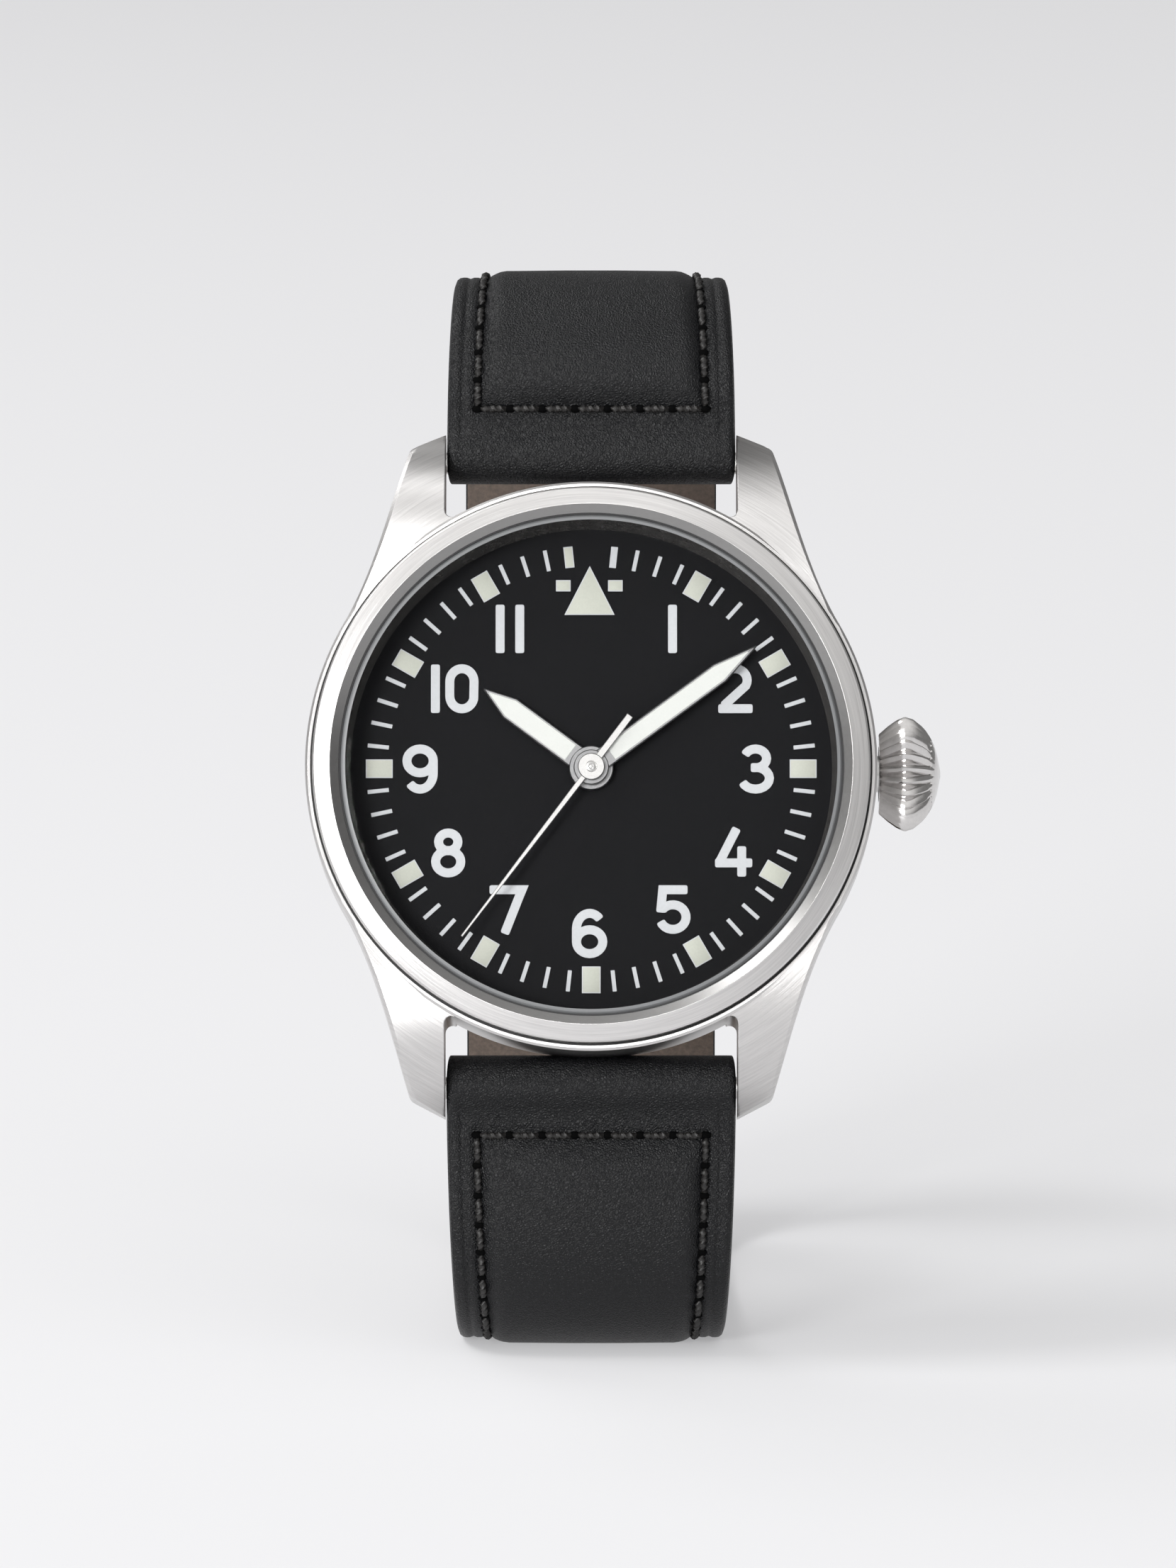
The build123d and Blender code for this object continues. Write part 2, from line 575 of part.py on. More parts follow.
# Keepers round both layers of the strap
KEEPER_GAP = 0.3
KEEPER_WALL = 1.1
KEEPER_HEIGHT = 4.5
KEEPER_ROUND = 0.8
FIXED_KEEPER_RISE = 6.0
KEEPER_SPACING = 2.5
FIXED_KEEPER_Z = BUCKLE_BAR_Z + FIXED_KEEPER_RISE
SLIDING_KEEPER_Z = FIXED_KEEPER_Z + KEEPER_HEIGHT + KEEPER_SPACING

HEAD_SEAT = Pos(0, -REST_BEHIND_DIAL, LOOP_DROP) * Rot(90 - LEAN_ANGLE, 0, 0)
STRAP_SEAT = Pos(0, -REST_BEHIND_DIAL, LOOP_DROP)


def polar(distance, angle):
    return (distance * cos(radians(angle)), distance * sin(radians(angle)))


def meeting_point(reach, other_x, other_reach):
    """The upper point that lies reach from the centre and other_reach from (other_x, 0)."""
    x = (reach**2 - other_reach**2 + other_x**2) / (2 * other_x)
    return (x, sqrt(reach**2 - x**2))


THIRD_AT = polar(THIRD_DISTANCE, THIRD_ANGLE)
ESCAPE_AT = polar(ESCAPE_DISTANCE, ESCAPE_ANGLE)
PALLET_WAY = polar(1, PALLET_LINE_ANGLE)
PALLET_AT = (ESCAPE_AT[0] + PALLET_REACH * PALLET_WAY[0], ESCAPE_AT[1] + PALLET_REACH * PALLET_WAY[1])
BALANCE_AT = (PALLET_AT[0] + BALANCE_REACH * PALLET_WAY[0], PALLET_AT[1] + BALANCE_REACH * PALLET_WAY[1])
BARREL_AT = meeting_point(BARREL_DISTANCE, CROWN_WHEEL_X, CROWN_WHEEL_R + RATCHET_R)
MOTION_AT = polar(MOTION_DISTANCE, MOTION_ANGLE)
LEVER_AT = (STEM_GROOVE_X + CROWN_PULL / 2, -LEVER_R)
CLICK_AT = (
    BARREL_AT[0] + CLICK_DISTANCE * cos(radians(CLICK_ANGLE)),
    BARREL_AT[1] + CLICK_DISTANCE * sin(radians(CLICK_ANGLE)),
)


def turned(corners):
    """A ring turned about the Z axis from its (radius, height) corners."""
    outline = Polyline(*[(r, 0, z) for r, z in corners], close=True)
    return revolve(make_face(outline.edges()), Axis.Z)


def slab(sketch, low, high):
    """A flat sketch raised from one height to another."""
    return Pos(0, 0, low) * extrude(sketch, high - low)


def round_bar(radius, low, high, at=(0, 0)):
    return slab(Pos(at[0], at[1]) * Circle(radius), low, high)


def cross_bar(radius, x_low, x_high, z=0.0, y=0.0):
    """A round bar along X."""
    return Pos(x_low, y, z) * Rot(0, 90, 0) * extrude(Circle(radius), x_high - x_low)


def toothed(teeth, pitch_r, tooth_at, lean_share=0.0):
    """A gear outline with pointed teeth, one of them at the given angle."""
    module = 2 * pitch_r / teeth
    tip = pitch_r + TIP_SHARE * module
    root = pitch_r - ROOT_SHARE * module
    step = 360 / teeth
    corners = []
    for index in range(teeth):
        angle = tooth_at + index * step
        corners.append(polar(tip, angle + lean_share * step))
        corners.append(polar(root, angle + step / 2))
    return Polygon(*corners, align=None)


def spoked(outline, pitch_r, hub_r):
    """A gear outline with its web cut out between four spokes."""
    window = Circle(pitch_r - RIM_WIDTH) - Circle(hub_r)
    for index in range(SPOKE_COUNT // 2):
        window -= Rot(0, 0, index * 360 / SPOKE_COUNT) * Rectangle(2 * pitch_r, SPOKE_WIDTH)
    return outline - window


def wheel(teeth, pitch_r, low, at, toward, hub_r, bore_r=0.0, thick=WHEEL_THICK):
    """A spoked wheel at its place, with a tooth pointing toward the piece that it meshes with."""
    outline = spoked(toothed(teeth, pitch_r, toward), pitch_r, hub_r)
    if bore_r:
        outline -= Circle(bore_r)
    return Pos(at[0], at[1], 0) * slab(outline, low, low + thick)


def pinion(teeth, pitch_r, low, high, at, toward, bore_r=0.0):
    """A small gear at its place, with a space between two teeth toward its wheel."""
    outline = toothed(teeth, pitch_r, toward + 180 / teeth)
    if bore_r:
        outline -= Circle(bore_r)
    return Pos(at[0], at[1], 0) * slab(outline, low, high)


def pair_radii(distance, teeth, other_teeth):
    total = teeth + other_teeth
    return distance * teeth / total, distance * other_teeth / total


def bearing(angle_from, angle_to=(0, 0)):
    """The angle of the line from one place to another."""
    return degrees(atan2(angle_to[1] - angle_from[1], angle_to[0] - angle_from[0]))


# The case and what closes it


def lug():
    """One lug at 1 o'clock: its plan swept in from the case, cut to its curved side profile."""
    root = polar(CASE_R, LUG_ROOT_ANGLE)
    root_way = polar(1, LUG_ROOT_ANGLE + 90)
    shoulder = (LUG_TIP_X, LUG_TIP_Y - LUG_CORNER)
    tip = (LUG_TIP_X - LUG_CORNER, LUG_TIP_Y)
    flank = TangentArc(root, shoulder, tangent=root_way)
    corner = TangentArc(shoulder, tip, tangent=flank % 1)
    inner = LUG_GAP / 2
    rest = Polyline(tip, (inner, LUG_TIP_Y), (inner, LUG_ROOT_Y), root)
    plan = make_face([flank.edge(), corner.edge()] + list(rest.edges()))
    plan_solid = slab(plan, LUG_HEEL_Z - OVERRUN, CASE_TOP + OVERRUN)

    crest = (LUG_CREST_Y, CASE_TOP)
    nose = (LUG_TIP_Y, LUG_TIP_TOP)
    crest_way = (cos(radians(LUG_CREST_ANGLE)), -sin(radians(LUG_CREST_ANGLE)))
    back = TangentArc(crest, nose, tangent=crest_way)
    under = Polyline(
        nose,
        (LUG_TIP_Y - LUG_TIP_SET_BACK, LUG_TIP_FOOT),
        (LUG_HEEL_Y, LUG_HEEL_Z),
        (LUG_CREST_Y, CASE_BOTTOM),
        (0, CASE_BOTTOM),
        (0, CASE_TOP),
        crest,
    )
    side = make_face([back.edge()] + list(under.edges()))
    body = plan_solid & extrude(Plane.YZ * side, LUG_TIP_X + CASE_R)
    return chamfer(outer_rim(body), LUG_BEVEL)


def outer_rim(body):
    """The upper edges of a lug that are seen from outside: along its flank and across its tip."""
    rim = []
    for edge in body.edges():
        middle = edge @ 0.5
        level = abs((edge @ 1).X - (edge @ 0).X) + abs((edge @ 1).Y - (edge @ 0).Y) > RUNNING_GAP
        outside = middle.X > LUG_GAP / 2 + RUNNING_GAP and middle.Z > LUG_TIP_FOOT + RUNNING_GAP
        across = abs(middle.Y - LUG_CREST_Y) < RUNNING_GAP
        if level and outside and not across:
            rim.append(edge)
    return rim


def case_middle():
    """The ring of the case with its four lugs, bored for the movement, crown tube and spring bars."""
    body = turned(
        [
            (BORE_R, CASE_BOTTOM),
            (CASE_FOOT_R, CASE_BOTTOM),
            (CASE_R, CASE_SIDE_LOW),
            (CASE_R, CASE_TOP - CASE_EDGE),
            (CASE_R - CASE_EDGE, CASE_TOP),
            (BORE_R, CASE_TOP),
        ]
    )
    one = lug()
    body += one
    body += mirror(one, Plane.YZ)
    body += mirror(one, Plane.XZ)
    body += mirror(mirror(one, Plane.YZ), Plane.XZ)
    body -= round_bar(BORE_R, LUG_HEEL_Z - OVERRUN, CASE_TOP + OVERRUN)
    body -= round_bar(GASKET_R, CRYSTAL_SEAT, CASE_TOP + OVERRUN)
    body -= round_bar(POCKET_R, POCKET_FLOOR, CASE_TOP + OVERRUN)
    body -= cross_bar(TUBE_R, BORE_R - OVERRUN, CASE_R + OVERRUN, STEM_Z)
    for side in (1, -1):
        half = LUG_GAP / 2 + STRAP_BAR_TIP_LENGTH
        body -= cross_bar(STRAP_BAR_TIP_R, -half, half, STRAP_BAR_Z, side * STRAP_BAR_Y)
    return body


def bezel():
    return turned(
        [
            (BEZEL_BORE_R, POCKET_FLOOR),
            (BEZEL_R, POCKET_FLOOR),
            (BEZEL_R, BEZEL_WALL_TOP),
            (BEZEL_FLAT_R, BEZEL_FLAT_Z),
            (BEZEL_CREST_R, BEZEL_CREST_Z),
            (BEZEL_BORE_R, BEZEL_LIP_Z),
        ]
    )


def crystal():
    """A disc with a gently domed top."""
    rise = CRYSTAL_TOP - CRYSTAL_EDGE_TOP
    dome_r = (CRYSTAL_R**2 + rise**2) / (2 * rise)
    dome = Pos(0, 0, CRYSTAL_TOP - dome_r) * Sphere(dome_r)
    return round_bar(CRYSTAL_R, CRYSTAL_UNDER, CRYSTAL_TOP + OVERRUN) & dome


def crystal_gasket():
    return slab(Circle(GASKET_R) - Circle(CRYSTAL_R), CRYSTAL_UNDER, GASKET_TOP)


def rehaut_ring():
    foot = RUNNING_GAP
    return turned([(REHAUT_FOOT_R, foot), (REHAUT_R, foot), (REHAUT_R, REHAUT_TOP), (REHAUT_TOP_R, REHAUT_TOP)])


def dial():
    return slab(Circle(DIAL_R) - Circle(DIAL_HOLE_R), -DIAL_THICK, 0)


def lume_plots():
    """Raised luminous paint: eleven bars, the triangle at 12 and its two squares."""
    middle = (PLOT_OUTER_R + PLOT_INNER_R) / 2
    bar = Pos(0, middle) * Rectangle(PLOT_WIDTH, PLOT_LENGTH)
    marks = [Rot(0, 0, -hour * HOUR_STEP_ANGLE) * bar for hour in range(1, 12)]
    half = TRIANGLE_WIDTH / 2
    corners = [(-half, TRIANGLE_BASE_Y), (half, TRIANGLE_BASE_Y), (0, TRIANGLE_APEX_Y)]
    marks.append(Polygon(*corners, align=None))
    for side in (1, -1):
        marks.append(Pos(side * SQUARE_X, SQUARE_Y) * Rectangle(SQUARE_WIDTH, SQUARE_HEIGHT))
    return Compound([slab(mark, 0, PLOT_THICK).solid() for mark in marks])


def case_back():
    """A screwed disc with a threaded neck, a gasket groove and key notches round its rim."""
    body = turned(
        [
            (0, BACK_RECESS_FLOOR),
            (BACK_RECESS_R, BACK_RECESS_FLOOR),
            (NECK_INNER_R, CASE_BOTTOM),
            (NECK_INNER_R, NECK_TOP),
            (BORE_R - PART_GAP, NECK_TOP),
            (BORE_R - PART_GAP, CASE_BOTTOM),
            (BACK_GASKET_INNER_R, CASE_BOTTOM),
            (BACK_GASKET_INNER_R, CASE_BOTTOM - BACK_GASKET_DEEP),
            (BACK_GASKET_OUTER_R, CASE_BOTTOM - BACK_GASKET_DEEP),
            (BACK_GASKET_OUTER_R, CASE_BOTTOM),
            (BACK_R, CASE_BOTTOM),
            (BACK_R, BACK_OUTER + BACK_EDGE),
            (BACK_R - BACK_EDGE, BACK_OUTER),
            (0, BACK_OUTER),
        ]
    )
    for index in range(NOTCH_COUNT):
        cut = Rot(0, 0, index * 360 / NOTCH_COUNT) * Pos(BACK_R, 0) * Rectangle(2 * NOTCH_LENGTH, NOTCH_WIDTH)
        body -= slab(cut, BACK_OUTER - OVERRUN, BACK_OUTER + NOTCH_DEPTH)
    return body


def case_back_gasket():
    band = Circle(BACK_GASKET_OUTER_R) - Circle(BACK_GASKET_INNER_R)
    return slab(band, CASE_BOTTOM - BACK_GASKET_DEEP, CASE_BOTTOM)


def movement_ring():
    """The casing ring that centres the movement, with its channel for the stem."""
    body = turned(
        [
            (MOVEMENT_RING_INNER_R, MOVEMENT_RING_LOW),
            (DIAL_R, MOVEMENT_RING_LOW),
            (DIAL_R, MOVEMENT_RING_HIGH),
            (RING_SHELF_R, MOVEMENT_RING_HIGH),
            (RING_SHELF_R, RING_SHELF_LOW),
            (MOVEMENT_RING_INNER_R, RING_SHELF_LOW),
        ]
    )
    return body - cross_bar(STEM_CHANNEL_R, RING_SHELF_R, BORE_R, STEM_Z)


def crown_tube():
    body = cross_bar(TUBE_R, TUBE_INNER_X, TUBE_OUTER_X, STEM_Z)
    return body - cross_bar(TUBE_BORE_R, TUBE_INNER_X - OVERRUN, TUBE_OUTER_X + OVERRUN, STEM_Z)


def spring_bars():
    """The two bars that carry the strap, with their thin sprung tips in the lug holes."""
    bars = []
    for side in (1, -1):
        y = side * STRAP_BAR_Y
        half = LUG_GAP / 2 - PART_GAP
        tip = LUG_GAP / 2 + STRAP_BAR_TIP_LENGTH - PART_GAP
        bar = cross_bar(STRAP_BAR_R, -half, half, STRAP_BAR_Z, y)
        bar += cross_bar(STRAP_BAR_TIP_R - RUNNING_GAP, -tip, tip, STRAP_BAR_Z, y)
        bars.append(bar.solid())
    return Compound(bars)


# The movement's plates


def pivot_places():
    """Places and radii of the arbors that run in the main plate."""
    return [
        ((0, 0), CENTRE_TUBE_R),
        (THIRD_AT, ARBOR_R),
        (ESCAPE_AT, PINION_ARBOR_R),
        (PALLET_AT, PINION_ARBOR_R),
        (BALANCE_AT, ARBOR_R),
        (BARREL_AT, ARBOR_R),
    ]


def main_plate():
    sketch = Circle(PLATE_R)
    for place, radius in pivot_places():
        sketch -= Pos(place[0], place[1]) * Circle(radius + RUNNING_GAP)
    sketch -= Pos(MOTION_AT[0], MOTION_AT[1]) * Circle(ARBOR_R)
    body = slab(sketch, PLATE_UNDER, PLATE_TOP)
    length = PLATE_R - KEYLESS_RECESS_X + OVERRUN
    recess = Pos(KEYLESS_RECESS_X + length / 2, 0) * Rectangle(length, KEYLESS_RECESS_WIDTH)
    body -= slab(recess, PLATE_UNDER - OVERRUN, KEYLESS_RECESS_TOP)
    return body


def barrel_bridge():
    """The bridge over the barrel, its foot on the plate and its tongue out to the crown wheel."""
    side = 2 * BRIDGE_R
    block = Pos(BRIDGE_LEFT_X + side / 2, BRIDGE_EDGE_Y + side / 2) * Rectangle(side, side)
    plan = Circle(BRIDGE_R) & block
    tongue = Circle(BRIDGE_STUD_R) + Pos(0, BRIDGE_EDGE_Y / 2) * Rectangle(2 * BRIDGE_STUD_R, BRIDGE_EDGE_Y)
    plan += Pos(CROWN_WHEEL_X, 0) * tongue
    plan -= Circle(pair_radii(ESCAPE_DISTANCE, FOURTH_TEETH, ESCAPE_PINION_TEETH)[0] + FOURTH_CUT)
    barrel_place = Pos(BARREL_AT[0], BARREL_AT[1])
    foot = (Circle(BRIDGE_R) & block) - Circle(BRIDGE_FOOT_R) - barrel_place * Circle(BARREL_R + BARREL_CUT)
    plan -= barrel_place * Circle(BARREL_ARBOR_R + RUNNING_GAP)
    return slab(plan, BARREL_BRIDGE_LOW, BARREL_BRIDGE_HIGH) + slab(foot, BARREL_BRIDGE_HIGH, PLATE_UNDER)


def train_bridge():
    """The bridge over the third, fourth and escape wheels, cut clear of ratchet wheel and balance."""
    side = 2 * BRIDGE_R
    block = Pos(TRAIN_EDGE_X - side / 2, TRAIN_EDGE_Y - side / 2) * Rectangle(side, side)
    plan = Circle(BRIDGE_R) & block
    plan -= Pos(BARREL_AT[0], BARREL_AT[1]) * Circle(RATCHET_R + RATCHET_CLEAR)
    plan -= Pos(BALANCE_AT[0], BALANCE_AT[1]) * Circle(BALANCE_R + BALANCE_CLEAR)
    third_r = pair_radii(THIRD_DISTANCE, THIRD_TEETH, FOURTH_PINION_TEETH)[0]
    foot = plan - Pos(THIRD_AT[0], THIRD_AT[1]) * Circle(third_r + THIRD_CUT)
    foot &= Pos(TRAIN_FOOT_X - side / 2, 0) * Rectangle(side, 2 * side)
    for place, radius in ((THIRD_AT, ARBOR_R), (ESCAPE_AT, PINION_ARBOR_R), ((0, 0), SECONDS_ARBOR_R)):
        plan -= Pos(place[0], place[1]) * Circle(radius + RUNNING_GAP)
    return slab(plan, TRAIN_BRIDGE_LOW, TRAIN_BRIDGE_HIGH) + slab(foot, TRAIN_BRIDGE_HIGH, PLATE_UNDER)


def bar_between(start, end, start_r, end_r):
    """A flat arm with round ends between two places."""
    start_circle = Pos(start[0], start[1]) * Circle(start_r)
    end_circle = Pos(end[0], end[1]) * Circle(end_r)
    return make_hull(start_circle.edges() + end_circle.edges())


def balance_cock():
    foot_at = (COCK_FOOT_X, COCK_FOOT_Y)
    arm = bar_between(foot_at, BALANCE_AT, COCK_FOOT_R, COCK_END_R)
    arm -= Pos(BALANCE_AT[0], BALANCE_AT[1]) * Circle(ARBOR_R + RUNNING_GAP)
    return slab(arm, COCK_LOW, COCK_HIGH) + round_bar(COCK_FOOT_R, COCK_HIGH, PLATE_UNDER, foot_at)


def pallet_bridge():
    """A small bridge over the pallet arbor, its foot beside the escape wheel."""
    way = polar(PALLET_BRIDGE_REACH, PALLET_LINE_ANGLE - 90)
    foot_at = (PALLET_AT[0] + way[0], PALLET_AT[1] + way[1])
    arm = bar_between(foot_at, PALLET_AT, PALLET_BRIDGE_HALF, PALLET_BRIDGE_HALF)
    arm -= Pos(PALLET_AT[0], PALLET_AT[1]) * Circle(PINION_ARBOR_R + RUNNING_GAP)
    foot = round_bar(PALLET_BRIDGE_HALF, PALLET_BRIDGE_HIGH, PLATE_UNDER, foot_at)
    return slab(arm, PALLET_BRIDGE_LOW, PALLET_BRIDGE_HIGH) + foot


def screw(at, seat):
    """A slotted screw head lying on its bridge."""
    head = round_bar(SCREW_R, seat - SCREW_HEAD, seat, at)
    slot = Pos(at[0], at[1]) * Rectangle(2 * SCREW_R + OVERRUN, SCREW_SLOT)
    return head - slab(slot, seat - SCREW_HEAD - OVERRUN, seat - SCREW_HEAD / 2)


def bridge_screws():
    """Screws of the barrel bridge, the train bridge, the cock, and of the ratchet and crown wheels."""
    middle_r = (BRIDGE_FOOT_R + BRIDGE_R) / 2
    screws = [screw(polar(middle_r, angle), BARREL_BRIDGE_LOW) for angle in BARREL_SCREW_ANGLES]
    screws += [screw(polar(middle_r, angle), TRAIN_BRIDGE_LOW) for angle in TRAIN_SCREW_ANGLES]
    screws.append(screw((COCK_FOOT_X, COCK_FOOT_Y), COCK_LOW))
    return Compound([one.solid() for one in screws])


def casing_clamps():
    """Two clamps screwed to the plate's rim that reach under the casing ring."""
    clamps = []
    for angle in CLAMP_ANGLES:
        strip = Rectangle(2 * CLAMP_HALF_LENGTH, CLAMP_WIDTH)
        plan = Rot(0, 0, angle) * Pos(MOVEMENT_RING_INNER_R, 0) * strip
        clamp = slab(plan, MOVEMENT_RING_LOW - CLAMP_THICK, MOVEMENT_RING_LOW)
        clamp += screw(polar(MOVEMENT_RING_INNER_R + CLAMP_HALF_LENGTH / 2, angle), MOVEMENT_RING_LOW - CLAMP_THICK)
        clamps.append(clamp.solid())
    return Compound(clamps)


# Crown, stem and keyless work, about the stem's axis


def crown_outline(inset):
    """The crown's slope, belt and falling face as a wire, brought in by an inset."""
    slope = Line((CROWN_INNER_X, 0, CROWN_INNER_R - inset), (CROWN_BELT_X, 0, CROWN_BELT_R - inset))
    fall = ThreePointArc(
        slope @ 1,
        (CROWN_SLOPE_X - inset / 2, 0, CROWN_SLOPE_R - inset / 2),
        (CROWN_CAP_X, 0, CROWN_CAP_R),
    )
    return slope, fall


def crown():
    """A fluted crown with a smooth domed cap, hollow where it runs over the tube."""
    slope, fall = crown_outline(0)
    cap = ThreePointArc(fall @ 1, (CROWN_DOME_X, 0, CROWN_DOME_R), (CROWN_TIP_X, 0, 0))
    close = Polyline((CROWN_TIP_X, 0, 0), (CROWN_INNER_X, 0, 0), slope @ 0)
    body = revolve(make_face([slope.edge(), fall.edge(), cap.edge()] + list(close.edges())), Axis.X)

    floor, floor_fall = crown_outline(FLUTE_DEPTH)
    outer = CROWN_BELT_R + OVERRUN
    back = Polyline(
        floor_fall @ 1,
        (CROWN_CAP_X, 0, outer),
        (CROWN_INNER_X - OVERRUN, 0, outer),
        (CROWN_INNER_X - OVERRUN, 0, CROWN_INNER_R - FLUTE_DEPTH),
        floor @ 0,
    )
    flute = make_face([floor.edge(), floor_fall.edge()] + list(back.edges()))
    flute_solid = extrude(flute, FLUTE_WIDTH / 2, both=True)
    body -= [Rot(index * 360 / CROWN_FLUTES, 0, 0) * flute_solid for index in range(CROWN_FLUTES)]
    body -= cross_bar(CROWN_CAVITY_R, CROWN_INNER_X - OVERRUN, CROWN_CAVITY_X)
    body += cross_bar(STEM_R, TUBE_OUTER_X, CROWN_CAVITY_X)
    return Pos(0, 0, STEM_Z) * body


def crown_gasket():
    """The ring in the crown tube's mouth that seals the stem."""
    seal = cross_bar(CROWN_SEAL_R, TUBE_OUTER_X - CROWN_SEAL_THICK, TUBE_OUTER_X, STEM_Z)
    return seal - cross_bar(STEM_R + RUNNING_GAP, TUBE_OUTER_X - OVERRUN, TUBE_OUTER_X + OVERRUN, STEM_Z)


def winding_stem():
    """The stem: pivot, square for the sliding pinion, round shank with the lever's groove."""
    body = cross_bar(STEM_TIP_R, STEM_TIP_X, STEM_SQUARE_X, STEM_Z)
    square = Pos(STEM_SQUARE_X, 0, STEM_Z) * Rot(0, 90, 0) * Rectangle(STEM_SQUARE, STEM_SQUARE)
    body += extrude(square, STEM_ROUND_X - STEM_SQUARE_X)
    body += cross_bar(STEM_R, STEM_ROUND_X, TUBE_OUTER_X, STEM_Z)
    low = STEM_GROOVE_X - STEM_GROOVE_WIDTH / 2
    high = STEM_GROOVE_X + STEM_GROOVE_WIDTH / 2
    groove = cross_bar(STEM_R + OVERRUN, low, high, STEM_Z)
    return body - (groove - cross_bar(STEM_GROOVE_R, low - OVERRUN, high + OVERRUN, STEM_Z))


def winding_pinion():
    """The toothed pinion that drives the crown wheel."""
    outline = toothed(WINDING_PINION_TEETH, WINDING_PINION_R - WINDING_MODULE, 0)
    outline -= Circle(STEM_R + RUNNING_GAP)
    return Pos(WINDING_PINION_X, 0, STEM_Z) * Rot(0, 90, 0) * extrude(outline, WINDING_PINION_LENGTH)


def sliding_pinion():
    """The clutch that rides on the stem's square, with a groove for its yoke."""
    end = SLIDING_PINION_X + SLIDING_PINION_LENGTH
    body = cross_bar(SLIDING_PINION_R, SLIDING_PINION_X, end, STEM_Z)
    middle = (SLIDING_PINION_X + end) / 2
    low = middle - SLIDING_GROOVE_WIDTH / 2
    high = middle + SLIDING_GROOVE_WIDTH / 2
    groove = cross_bar(SLIDING_PINION_R + OVERRUN, low, high, STEM_Z)
    body -= groove - cross_bar(SLIDING_GROOVE_R, low - OVERRUN, high + OVERRUN, STEM_Z)
    return body - cross_bar(STEM_R + RUNNING_GAP, SLIDING_PINION_X - OVERRUN, end + OVERRUN, STEM_Z)


def crown_wheel():
    outline = toothed(CROWN_WHEEL_TEETH, CROWN_WHEEL_R, bearing((CROWN_WHEEL_X, 0), BARREL_AT))
    body = slab(outline, WINDING_WHEEL_LOW, WINDING_WHEEL_HIGH)
    body += round_bar(WINDING_SCREW_R, WINDING_WHEEL_LOW - SCREW_HEAD, WINDING_WHEEL_LOW)
    slot = Rectangle(2 * WINDING_SCREW_R + OVERRUN, SCREW_SLOT)
    body -= slab(slot, WINDING_WHEEL_LOW - SCREW_HEAD - OVERRUN, WINDING_WHEEL_LOW - SCREW_HEAD / 2)
    return Pos(CROWN_WHEEL_X, 0, 0) * body


def ratchet_wheel():
    """The wheel on the barrel arbor, its saw teeth held by the click."""
    toward = bearing(BARREL_AT, (CROWN_WHEEL_X, 0)) + 180 / RATCHET_TEETH
    outline = toothed(RATCHET_TEETH, RATCHET_R, toward) - Circle(BARREL_ARBOR_R)
    return Pos(BARREL_AT[0], BARREL_AT[1], 0) * slab(outline, WINDING_WHEEL_LOW, WINDING_WHEEL_HIGH)


def click():
    """The pawl that stops the ratchet wheel from running back."""
    way = polar(CLICK_LENGTH, CLICK_ANGLE + 180 + CLICK_LEAN_ANGLE)
    beak = (CLICK_AT[0] + way[0], CLICK_AT[1] + way[1])
    plan = bar_between(CLICK_AT, beak, CLICK_R, CLICK_POINT)
    return slab(plan, WINDING_WHEEL_LOW, WINDING_WHEEL_HIGH)


def setting_lever():
    """The lever whose pin sits in the stem's groove."""
    pin_at = (STEM_GROOVE_X, -LEVER_R + sqrt(LEVER_R**2 - (CROWN_PULL / 2) ** 2))
    plan = bar_between(LEVER_AT, pin_at, LEVER_EYE_R, LEVER_HALF)
    body = slab(plan, LEVER_LOW, LEVER_HIGH)
    return body + round_bar(LEVER_PIN_R, LEVER_PIN_LOW, LEVER_LOW, pin_at)


# Barrel, going train and escapement


def barrel():
    """The drum, toothed round its lower edge, with the mainspring's chamber inside."""
    radius = pair_radii(BARREL_DISTANCE, BARREL_TEETH, CENTRE_PINION_TEETH)[0]
    teeth = toothed(BARREL_TEETH, radius, bearing(BARREL_AT))
    body = slab(teeth, BARREL_LOW, BARREL_LOW + BARREL_TOOTHED)
    body += round_bar(BARREL_R, BARREL_LOW, BARREL_HIGH)
    body -= round_bar(BARREL_R - BARREL_WALL, BARREL_LOW + BARREL_WALL, BARREL_HIGH - BARREL_WALL)
    body -= round_bar(BARREL_ARBOR_R + RUNNING_GAP, BARREL_LOW - OVERRUN, BARREL_HIGH + OVERRUN)
    return Pos(BARREL_AT[0], BARREL_AT[1], 0) * body


def barrel_arbor():
    low = WINDING_WHEEL_LOW - SCREW_HEAD
    body = round_bar(BARREL_ARBOR_R, low, PLATE_UNDER - PART_GAP, BARREL_AT)
    return body + round_bar(ARBOR_R, PLATE_UNDER - PART_GAP, PLATE_TOP, BARREL_AT)


def wound_strip(inner_r, pitch, turns, thick, low, high, at):
    """A flat spiral spring of half turns, each a step wider than the last."""
    halves = int(2 * turns)
    edges = []
    start = (inner_r, 0)
    for index in range(halves):
        sign = 1 if index % 2 == 0 else -1
        reach = inner_r + (index + 1) * pitch / 2
        end = (-sign * reach, 0)
        middle_x = (start[0] + end[0]) / 2
        radius = abs(end[0] - start[0]) / 2
        edges.append(ThreePointArc(start, (middle_x, sign * radius), end).edge())
        start = end
    strip = trace(edges, line_width=thick)
    return Pos(at[0], at[1], 0) * slab(strip, low, high)


def mainspring():
    room = BARREL_R - BARREL_WALL - MAINSPRING_INNER_R - MAINSPRING_THICK
    pitch = room / MAINSPRING_TURNS
    low = BARREL_LOW + BARREL_WALL + PART_GAP
    high = BARREL_HIGH - BARREL_WALL - PART_GAP
    return wound_strip(MAINSPRING_INNER_R, pitch, MAINSPRING_TURNS, MAINSPRING_THICK, low, high, BARREL_AT)


